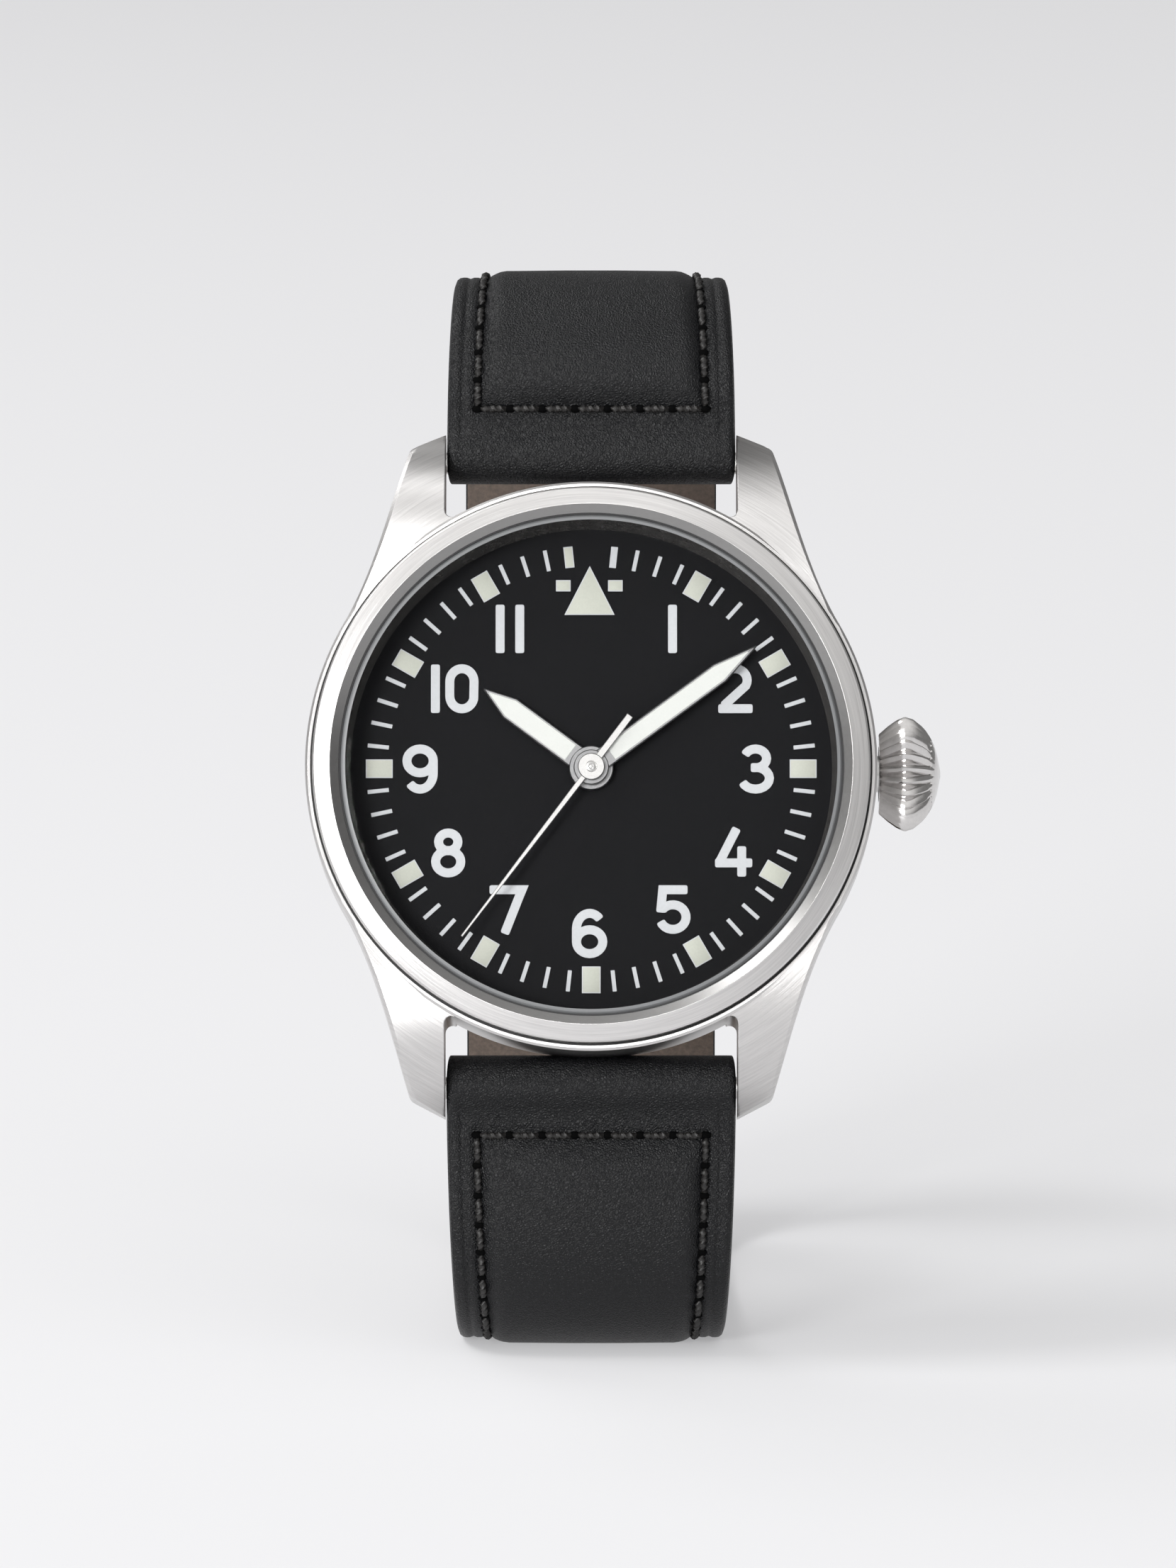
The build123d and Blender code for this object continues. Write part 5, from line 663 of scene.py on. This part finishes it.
# The crown: turned steel with long flutes cut over its two slopes for the fingers, and a smooth domed cap. It is
# screwed to the winding stem.
CROWN_FLUTES = 26
CROWN_FLUTE_DEEP = 0.5
CROWN_FLUTE_SHAPE = 1.2
CROWN_FLUTE_POINTS = 8
CROWN_R = 3.92
CROWN_AXIS = -3.5
CROWN_HOLLOW = [(21.3, 0.3), (21.3, 1.9), (19.72, 1.9)]
CROWN_OUTLINE = [(19.72, 2.72), (19.8, 2.8), (20.34, 3.27), (20.92, 3.68), (21.4, 3.9), (21.56, CROWN_R),
                 (22.08, 3.76), (22.37, 3.53), (22.66, 3.3), (22.95, 2.98), (23.2, 2.6)]
CROWN_CAP = [(23.34, 2.36), (23.53, 1.94), (23.7, 1.42), (23.83, 0.8), (23.93, 0.25)]
crown_steel = finish("crown_steel", (0.66, 0.645, 0.635), 0.13, lines=4.0, shade=0.05, height=0.003)
segments = CROWN_FLUTES * CROWN_FLUTE_POINTS
rings = []
for outline, cut in ((CROWN_HOLLOW, 0.0), (CROWN_OUTLINE, 1.0), (CROWN_CAP, 0.0)):
    for x, radius in outline:
        points = []
        for k in range(segments):
            share = (k % CROWN_FLUTE_POINTS) / CROWN_FLUTE_POINTS
            flute = abs(1.0 - 2.0 * share) ** CROWN_FLUTE_SHAPE * (radius / CROWN_R) ** CROWN_FLUTE_SHAPE
            reach = radius - cut * CROWN_FLUTE_DEEP * flute
            angle = math.tau * k / segments
            points.append((x, reach * math.cos(angle), CROWN_AXIS + reach * math.sin(angle)))
        rings.append(points)
bm = bmesh.new()
drawn(bm, rings)
show("crown_fluted", seated(bm, joined=False), [crown_steel], "crown_and_stem", ["crown"],
     smooth=35.0)

# The strap: two halves of black grained calf, each folded round its bar at one end, with a soft filler under the
# leather that makes the crowned pad. Each half runs from its spring bar round the loop to the buckle.
STRAP_BACK = 23.0
STRAP_UP = 40.7
STRAP_WIDE = 9.9
STRAP_NARROW = 9.0
STRAP_TAPER = 32.0
STRAP_THICK = 3.8
STRAP_THIN_RUN = 55.0
STRAP_NOSE = 1.8
STRAP_BOTTOM = -41.2
LOWER_BACK = 49.95
PAD_HIGH = 0.45
PAD_RISE = 2.2
PAD_END = 62.0
PAD_FADE = 14.0
PAD_SIDE = 1.5
PAD_SIDE_OUT = 0.1
BAR_ROLL = 1.15
BAR_FLAT = 0.2
ROW_GROOVE = (0.2, 0.5)
BAR_DIP = (2.4, 0.18, 0.8)
CREASE = (0.1, 0.16)
SEWN_GROOVE = (0.16, 0.32)
CROWN_SLIGHT = 0.05
CROWN_AT_LUGS = 0.26
CROWN_AT_LUGS_END = 6.0
CROWN_FADE = 8.0
CROWN_IN = 2.6
CROWN_SWELL = 6.5
GROOVE_RUN = 0.8
CREASE_FROM = 0.8
CREASE_RUN = 1.5
NARROWEST = 0.05
FOLD_STEPS = 9
FOLD_START = 0.35
TIP_STEPS = 24
TIP_REST = 0.6
STITCH_IN = 2.05
CREASE_IN = 1.0
ROW_AT = 3.5
LINING_THICK = 0.75
LINING_FROM = 1.0
LINING_GLUED = 0.02
FACE_INSETS = (0.0, 0.12, 0.3, 0.55, 0.75, 0.88, 1.0, 1.12, 1.25, 1.5, 1.75, 1.9, 2.05, 2.2, 2.35, 2.55, 2.8, 3.1,
               3.5, 3.9, 4.5, 5.3, 6.3, 7.5)
FACE_HALF = 8.6
SIDE_SHARES = (0.15, 0.35, 0.55, 0.75, 0.95)
EDGE_ROUND = 0.5
BACK_ROUND = 0.3
NOSE_ROUND = 0.35
STATION_STEP = 0.5


class StrapHalf:
    """One half of the strap: the line of its face round the loop, as straight runs and bends, and its thickness."""

    def __init__(self, start, bends, end, hand, thin, nose_end, tip_r=0.0):
        self.hand, self.thin, self.nose_end, self.tip_r = hand, thin, nose_end, tip_r
        stops = [Vector(start)] + [Vector(corner) for corner, radius in bends] + [Vector(end)]
        headings = [(b - a).normalized() for a, b in zip(stops, stops[1:])]
        cuts = [0.0]
        for (corner, radius), before, after in zip(bends, headings, headings[1:]):
            cuts.append(radius * math.tan(before.angle(after) / 2))
        cuts.append(0.0)
        self.runs = []
        for k, heading in enumerate(headings):
            self.runs.append(((stops[k + 1] - stops[k]).length - cuts[k] - cuts[k + 1], 0.0))
            if k < len(bends):
                turn = heading.angle_signed(headings[k + 1])
                self.runs.append((bends[k][1] * abs(turn), turn))
        self.start, self.heading = stops[0], headings[0]
        self.length = sum(run for run, turn in self.runs)

    def line(self, along):
        """The point of the face and its heading, that far along the half."""
        point, heading, left = self.start.copy(), self.heading.copy(), along
        for k, (run, turn) in enumerate(self.runs):
            last = k == len(self.runs) - 1
            step = left if last or left < run else run
            if turn and step > 0:
                radius = run / abs(turn)
                sign = math.copysign(1.0, turn)
                centre = point + Vector((heading.y, -heading.x)) * sign * radius
                spin = Matrix.Rotation(-sign * step / radius, 2)
                point = centre + spin @ (point - centre)
                heading = spin @ heading
            else:
                point = point + heading * step
            left -= step
            if left <= 0:
                break
        return point, heading

    def half_width(self, along):
        """Half the strap's width there. The free tail ends in a round tip."""
        wide = STRAP_WIDE + (STRAP_NARROW - STRAP_WIDE) * eased(along / STRAP_TAPER)
        past = along - (self.length - self.tip_r)
        if self.tip_r and past > 0:
            wide = min(wide, math.sqrt(max(self.tip_r ** 2 - past ** 2, 0.0)))
        return wide

    def thick(self, along):
        """The half's thickness there."""
        return STRAP_THICK + (self.thin - STRAP_THICK) * eased(along / STRAP_THIN_RUN)

    def pad(self, along):
        """How far the pad stands above the strap's edges there, as a share of its height."""
        return eased((along - ROW_AT) / PAD_RISE) * (1.0 - eased((along - PAD_END) / PAD_FADE))

    def place(self, along, across, deep):
        """The world's point that far along the half, across it and in from its face, never under the table."""
        point, heading = self.line(along)
        point = point + Vector((heading.y, -heading.x)) * self.hand * deep
        return Vector((across / 1000.0, (point.x - STRAP_BACK) / 1000.0, max(point.y + STRAP_UP, 0.0) / 1000.0))


UPPER = StrapHalf((7.251, 20.402), [((7.9, 34.6), 9.3), ((47.1, 26.1), 13.0)], (47.1, -7.0), 1, 2.5, True)
LOWER = StrapHalf((-3.176, -21.418), [((-3.4, STRAP_BOTTOM), 11.0), ((LOWER_BACK, STRAP_BOTTOM), 14.0)],
                  (LOWER_BACK, 13.0), -1, 2.2, False, tip_r=9.6)


def dent(spot, middle, deep, wide):
    """How deep a soft dent of that depth and width round its middle is at the spot."""
    return deep * math.exp(-((spot - middle) / wide) ** 2)


def face_depth(half, along, inset):
    """How deep the leather's face lies: rolled over its bar, drawn in at the stitch row, then the crowned pad
    between sewn grooves, a creased line by each edge and the rounded edge itself."""
    risen = half.pad(along)
    pad_side = eased((inset - STITCH_IN + PAD_SIDE_OUT) / PAD_SIDE)
    over_bar = dent(max(along - BAR_FLAT, 0.0), 0.0, BAR_ROLL, BAR_ROLL)
    depth = PAD_HIGH * (1.0 - max(risen * pad_side, over_bar))
    depth += dent(along, ROW_AT, *ROW_GROOVE) + dent(along, *BAR_DIP)
    depth += dent(inset, CREASE_IN, *CREASE) * eased((along - CREASE_FROM) / CREASE_RUN)
    depth += dent(inset, STITCH_IN, *SEWN_GROOVE) * eased((along - ROW_AT + GROOVE_RUN) / GROOVE_RUN)
    crown = CROWN_SLIGHT + CROWN_AT_LUGS * (1.0 - eased((along - CROWN_AT_LUGS_END) / CROWN_FADE))
    depth -= crown * risen * eased((inset - CROWN_IN) / CROWN_SWELL)
    if inset < EDGE_ROUND:
        depth += EDGE_ROUND - math.sqrt(max(EDGE_ROUND ** 2 - (EDGE_ROUND - inset) ** 2, 0.0))
    return depth


def strap_skin(half, stations, back_of):
    """A closed skin round the half, drawn on from station to station. back_of gives the depth of its back."""
    rings = []
    for along, open_share in stations:
        wide = max(half.half_width(along), NARROWEST)
        back = back_of(along)
        insets = [inset * min(1.0, wide / FACE_HALF) for inset in FACE_INSETS]
        face = [(-wide + inset, face_depth(half, along, inset)) for inset in insets]
        face += [(-x, deep) for x, deep in reversed(face)]
        low = face[0][1]
        side = [(wide, low + (back - EDGE_ROUND * 0.5 - low) * share) for share in SIDE_SHARES]
        rear = [(x, back - BACK_ROUND * max(0.0, 1.0 - (wide - abs(x)) / BACK_ROUND) ** 2)
                for x, deep in reversed(face)]
        middle = (face[len(face) // 2][1] + back) / 2
        narrowed = 1.0 - (1.0 - open_share) * NOSE_ROUND / max(wide, 1.0)
        rings.append([half.place(along, x * narrowed, middle + (deep - middle) * open_share)
                      for x, deep in face + side + rear + [(-x, deep) for x, deep in reversed(side)]])
    bm = bmesh.new()
    drawn(bm, rings)
    bmesh.ops.recalc_face_normals(bm, faces=bm.faces)
    return bm


def stations_of(half):
    """The places of the rings and how open each one is: close together at the folded nose, even along the half, and
    close again over the fold or the round tip at its far end."""
    folds = [math.pi / 2 * (k + FOLD_START) / (FOLD_STEPS + FOLD_START) for k in range(FOLD_STEPS)]
    stations = [(-STRAP_NOSE * math.cos(angle), math.sin(angle)) for angle in folds]
    last = half.length - half.tip_r
    count = int(last / STATION_STEP)
    stations += [(last * k / count, 1.0) for k in range(count + 1)]
    if half.nose_end:
        nose = half.thick(last) / 2
        return stations + [(last + nose * math.cos(angle), math.sin(angle)) for angle in reversed(folds)]
    return stations + [(last + half.tip_r * math.sin(math.pi / 2 * k / (TIP_STEPS + TIP_REST)), 1.0)
                       for k in range(1, TIP_STEPS + 1)]


leather, nodes, skin = blank("black_calf")
place = head_place(nodes)
bent = add(nodes, "TexNoise", {"Vector": place, "Scale": 2.4, "Detail": 3.0})
pushed = add(nodes, "VectorMath", {0: bent.outputs["Color"], 1: (0.35, 0.35, 0.35), 2: place}, "MULTIPLY_ADD")
grain = add(nodes, "TexVoronoi", {"Vector": pushed, "Scale": 4.8})
grain.feature = "DISTANCE_TO_EDGE"
pores = add(nodes, "TexNoise", {"Vector": place, "Scale": 9.0, "Detail": 2.0, "Roughness": 0.6})
crinkle = add(nodes, "MapRange", {"Value": grain.outputs["Distance"], "From Max": 0.3})
hills = add(nodes, "Math", {0: crinkle, 1: 0.6, 2: pores}, "MULTIPLY_ADD")
relief = add(nodes, "Bump", {"Height": hills, "Strength": 1.0, "Distance": 0.000052})
tone = tones(nodes, crinkle, (0.0, 1.0), [(0.0012, 0.0013, 0.0018), (0.0035, 0.0037, 0.005)])
polish = add(nodes, "MapRange", {"Value": pores, "To Min": 0.3, "To Max": 0.44})
feed(skin, {"Base Color": tone, "Roughness": polish, "Normal": relief, "Specular IOR Level": 0.32})

# The holes of the strap: five punched through the tail and, in line with them, a slot for the buckle's tongue. The
# upper half's fold is cut open where the tongue sits on the buckle's bar.
BUCKLE_BACK = 46.0
BUCKLE_UP = -7.0
TAIL_HOLE_R = 0.95
TAIL_HOLE_PITCH = 6.2
TAIL_HOLES = (-3, -2, -1, 1, 2)
TONGUE_SLOT_R = 1.35
TONGUE_SLOT_HIGH = 3.45
TONGUE_SLOT_DROP = 0.225
FOLD_OPENING_R = 1.5
FOLD_OPENING_HIGH = 7.4
FOLD_OPENING_DROP = 1.4


def punch(bm, back, up, radius, high):
    """A cutter of that radius and height through the back run of the strap."""
    seat = Vector((0.0, (back - STRAP_BACK) / 1000.0, (up + STRAP_UP) / 1000.0))
    made = bmesh.ops.create_cone(bm, cap_ends=True, segments=32, radius1=radius / 1000.0, radius2=radius / 1000.0,
                                 depth=0.01, matrix=Matrix.Translation(seat) @ Matrix.Rotation(math.pi / 2, 4, "X"))
    for vert in made["verts"]:
        above = vert.co.z - seat.z
        if abs(above) > 1e-6:
            vert.co.z += math.copysign((high / 2 - radius) / 1000.0, above)


def punches(half):
    """The tail's holes and the slot for the tongue, or the opening in the fold round the buckle's bar."""
    bm = bmesh.new()
    if half.nose_end:
        punch(bm, BUCKLE_BACK, BUCKLE_UP - FOLD_OPENING_DROP, FOLD_OPENING_R, FOLD_OPENING_HIGH)
    else:
        punch(bm, LOWER_BACK, BUCKLE_UP - TONGUE_SLOT_DROP, TONGUE_SLOT_R, TONGUE_SLOT_HIGH)
        for step in TAIL_HOLES:
            punch(bm, LOWER_BACK, BUCKLE_UP + step * TAIL_HOLE_PITCH, TAIL_HOLE_R, 2 * TAIL_HOLE_R)
    return bm


def pierced(bm, cutters, wall=0.0):
    """The mesh, or the sheet with a wall of that many millimetres, with the cutters taken out of it."""
    works = [placed("work", mesh_of("work", shape)) for shape in (bm, cutters)]
    if wall:
        sheet = works[0].modifiers.new("sheet", "SOLIDIFY")
        sheet.thickness = wall / 1000.0
        sheet.offset = -1.0
    cut = works[0].modifiers.new("cut", "BOOLEAN")
    cut.operation = "DIFFERENCE"
    cut.solver = "EXACT"
    cut.object = works[1]
    bpy.context.view_layer.update()
    whole = works[0].evaluated_get(bpy.context.evaluated_depsgraph_get())
    result = bmesh.new()
    result.from_mesh(whole.to_mesh())
    whole.to_mesh_clear()
    for work in works:
        mesh = work.data
        bpy.data.objects.remove(work)
        bpy.data.meshes.remove(mesh)
    return result


for name, half in (("strap_upper", UPPER), ("strap_lower", LOWER)):
    bm = strap_skin(half, stations_of(half),
                    lambda along: half.thick(along) - (LINING_THICK - LINING_GLUED if along > LINING_FROM else 0.0))
    piece = show(name + "_sewn", pierced(bm, punches(half)), [leather], "case", [name], smooth=60.0)

# The lining: a thinner sheet of brown calf glued and sewn behind each half. It begins past the spring bar and ends
# short of the fold or just inside the tip.
LINING_START = 2.2
LINING_IN = 0.12
LINING_SUNK = 0.04
LINING_CUT = 0.06
LINING_ENDS = {"strap_upper": 2.5, "strap_lower": 0.4}
lining_leather = finish("brown_lining_calf", (0.085, 0.062, 0.048), 0.62, metallic=0.0, lines=3.5, shade=0.35,
                        height=0.03, detail=6.0)
for name, half in (("strap_upper", UPPER), ("strap_lower", LOWER)):
    long = half.length - LINING_ENDS[name] - LINING_START
    bm = bmesh.new()
    bmesh.ops.create_grid(bm, x_segments=12, y_segments=int(long), size=0.5)
    for vert in bm.verts:
        along = LINING_START + long * (vert.co.y + 0.5)
        wide = max(half.half_width(along) - LINING_IN, NARROWEST)
        vert.co = half.place(along, 2 * vert.co.x * wide, half.thick(along) - LINING_THICK + LINING_SUNK)
    bmesh.ops.recalc_face_normals(bm, faces=bm.faces)
    middle = (half.length - LINING_ENDS[name]) / 2
    inside = half.place(middle, 0, 1.0)
    near = min(bm.faces, key=lambda f: (f.calc_center_median() - inside).length)
    if near.normal.dot(inside - half.place(middle, 0, 0.0)) > 0:
        bmesh.ops.reverse_faces(bm, faces=bm.faces[:])
    bm.normal_update()
    bm = pierced(bm, punches(half), wall=LINING_THICK - LINING_CUT)
    piece = show(name + "_lining_calf", bm, [lining_leather], "case", [name + "_lining"], smooth=60.0)

# The stitches: near-black waxed thread of two plies, each stitch its own short twisted length that rises from one
# pinched hole and dives into the next. A flat matte black blob at each hole is painted shade for the hole's dark
# inside.
THREAD_R = 0.26
THREAD_FLAT = (1.1, 0.72)
THREAD_TURNS = 2.2
THREAD_SIDES = 8
THREAD_RINGS = 12
THREAD_LOWEST = 0.0004
THREAD_END = 0.03
THREAD_TAPER = 0.22
STITCH_PITCH = 2.1
STITCH_SUNK = 0.02
STITCH_RISE = 0.12
STITCH_DIVE = 0.42
STITCH_REACH = 0.97
ROW_REACH = 0.95
ROW_STITCHES = 7
ROW_END_FOLD = 8.0
ROW_END_TIP = 1.5
HOLE_R = 0.00036
HOLE_SHAPE = (0.8, 1.1, 0.55, 1.0)
HOLE_LOWEST = 0.0005
HOLE_DEEP = 0.1
AHEAD = 0.05
thread = finish("waxed_thread", (0.012, 0.011, 0.0105), 0.42, metallic=0.0, lines=9.0, shade=0.4, height=0.02)
# Near-black and almost without reflection: painted shade for the dark inside of the stitch holes.
hole_shade = finish("stitch_hole_painted_shade", (0.0012, 0.0012, 0.0013), 0.85, metallic=0.0, lines=9.0, height=0.002)
hole_shade.node_tree.nodes["Principled BSDF"].inputs["Specular IOR Level"].default_value = 0.05


def stitch(bm, half, path, ahead):
    """One stitch. path gives its spot along and across the half at each share of its length, and ahead a small step
    the same way."""
    rings = []
    for step in range(THREAD_RINGS + 1):
        share = step / THREAD_RINGS
        along, across = path(share)
        deep = PAD_HIGH - STITCH_SUNK - STITCH_RISE + STITCH_DIVE * abs(2 * share - 1) ** 3
        centre = half.place(along, across, deep)
        next_spot = half.place(along + ahead[0], across + ahead[1], deep)
        inner = half.place(along, across, deep + 1.0)
        centre.z = max(centre.z, THREAD_LOWEST)
        up = (centre - inner).normalized()
        out = up.cross((next_spot - centre).normalized()).normalized()
        fall = math.sin(math.pi * min(max(share, THREAD_END), 1.0 - THREAD_END)) ** THREAD_TAPER
        twist = Matrix.Rotation(math.tau * THREAD_TURNS * share, 2)
        points = []
        for k in range(THREAD_SIDES):
            angle = math.tau * k / THREAD_SIDES
            x, y = twist @ Vector((math.cos(angle) * THREAD_FLAT[0], math.sin(angle) * THREAD_FLAT[1]))
            points.append(centre + (out * x + up * y) * THREAD_R * fall / 1000.0)
        rings.append(points)
    drawn(bm, rings)


def by_edge(half, along, side):
    """The spot of the stitch line along one edge of the half."""
    return along, side * (half.half_width(along) - STITCH_IN)


for name, half in (("strap_upper", UPPER), ("strap_lower", LOWER)):
    bm = bmesh.new()
    last = half.length - (ROW_END_FOLD if half.nose_end else half.tip_r + ROW_END_TIP)
    count = int((last - ROW_AT) / STITCH_PITCH)
    for k in range(count):
        for side in (-1, 1):
            stitch(bm, half, lambda share: by_edge(
                half, ROW_AT + STITCH_PITCH * (k + 0.5 + STITCH_REACH * (share - 0.5)), side), (AHEAD, 0.0))
    reach = half.half_width(ROW_AT) - STITCH_IN
    pitch = 2 * reach / ROW_STITCHES
    for k in range(ROW_STITCHES):
        stitch(bm, half, lambda share: (ROW_AT, -reach + pitch * (k + 0.5 + ROW_REACH * (share - 0.5))), (0.0, AHEAD))
    bmesh.ops.recalc_face_normals(bm, faces=bm.faces)
    show(name + "_stitches", bm, [thread], "case", [], smooth=60.0)
    # A flattened matte black blob at each stitch hole: painted shade for the shade down in the hole.
    spots = [by_edge(half, ROW_AT + STITCH_PITCH * k, side) for k in range(count + 1) for side in (-1, 1)]
    spots += [(ROW_AT, -reach + pitch * k) for k in range(1, ROW_STITCHES)]
    bm = bmesh.new()
    for along, across in spots:
        here = half.place(along, across, PAD_HIGH + HOLE_DEEP)
        if here.z < HOLE_LOWEST:
            continue
        up = (here - half.place(along, across, PAD_HIGH + HOLE_DEEP + 1.0)).normalized()
        way = (half.place(along + AHEAD, across, PAD_HIGH + HOLE_DEEP) - here).normalized()
        seat = Matrix.Translation(here) @ Matrix((way, up.cross(way), up)).transposed().to_4x4()
        bmesh.ops.create_uvsphere(bm, u_segments=10, v_segments=6, radius=HOLE_R,
                                  matrix=seat @ Matrix.Diagonal(HOLE_SHAPE))
    show(name + "_stitch_hole_shade", bm, [hole_shade], "case", [], smooth=60.0)

# The keepers: two bands of the same black calf with rounded edges. One is sewn fast behind the buckle, and the
# other slides on the tail.
WELD = 2e-6
FLAT = math.radians(0.4)


def machined(node):
    """A copy of a part's mesh, its triangles joined into whole faces, so that its rims can be broken."""
    bm = bmesh.new()
    bm.from_mesh(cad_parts[node].data)
    bmesh.ops.remove_doubles(bm, verts=bm.verts, dist=WELD)
    bmesh.ops.dissolve_limit(bm, angle_limit=FLAT, verts=bm.verts, edges=bm.edges)
    return bm


for node, body in (("fixed_keeper", "case"), ("sliding_keeper", "sliding_keeper")):
    keeper = show(node + "_band", machined(node), [leather], body, [node], smooth=40.0)
    broken_edges(keeper, 0.35, steps=4)

# The buckle: a polished steel frame on its bar, and a tongue that swings on the same bar. The spring bars and the
# crown tube are polished like it.
polished = finish("polished_steel", (0.63, 0.625, 0.615), 0.14, lines=3.0, shade=0.03, height=0.0015)
for node, body in (("buckle_frame", "buckle"), ("buckle_tongue", "tongue")):
    piece = show(node + "_polished", machined(node), [polished], body, [node])
    broken_edges(piece, 0.12, steps=3)
dress("buckle_bar spring_bars crown_tube", polished)

# The case back: a lid turned from the same steel and screwed into the case, brushed round its middle, with six
# notches for its key.
back_steel = finish("case_back_steel", STEEL, 0.3, lines=(10.0, 0.8, 10.0), turned=True)
lid = show("case_back_turned", machined("case_back"), [back_steel], "case", ["case_back"])
broken_edges(lid, 0.06)

# The movement: rhodium-plated brass plates with a fine grain, gilt brass wheels and polished steel, in a plain
# casing ring. All of it is hidden by the dial and the lid.
plate_brass = finish("plated_brass", (0.56, 0.54, 0.5), 0.36, lines=16.0)
gilt_brass = finish("gilt_brass", (0.72, 0.5, 0.2), 0.28, lines=(10.0, 0.8, 10.0), turned=True, shade=0.08)
movement_steel = finish("movement_steel", (0.45, 0.45, 0.46), 0.22, lines=8.0, shade=0.05, height=0.002)
ring_brass = finish("casing_ring_brass", (0.6, 0.46, 0.24), 0.35, lines=(10.0, 0.8, 10.0), turned=True)
dress("main_plate barrel_bridge train_bridge balance_cock pallet_bridge", plate_brass)
dress("movement_ring", ring_brass)
dress("barrel centre_wheel third_wheel fourth_wheel minute_wheel hour_wheel balance_wheel", gilt_brass)
dress("bridge_screws casing_clamps minute_wheel_post winding_stem winding_pinion sliding_pinion crown_wheel "
      "ratchet_wheel click setting_lever barrel_arbor mainspring escape_wheel pallet_fork hairspring cannon_pinion",
      movement_steel)

low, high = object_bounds()
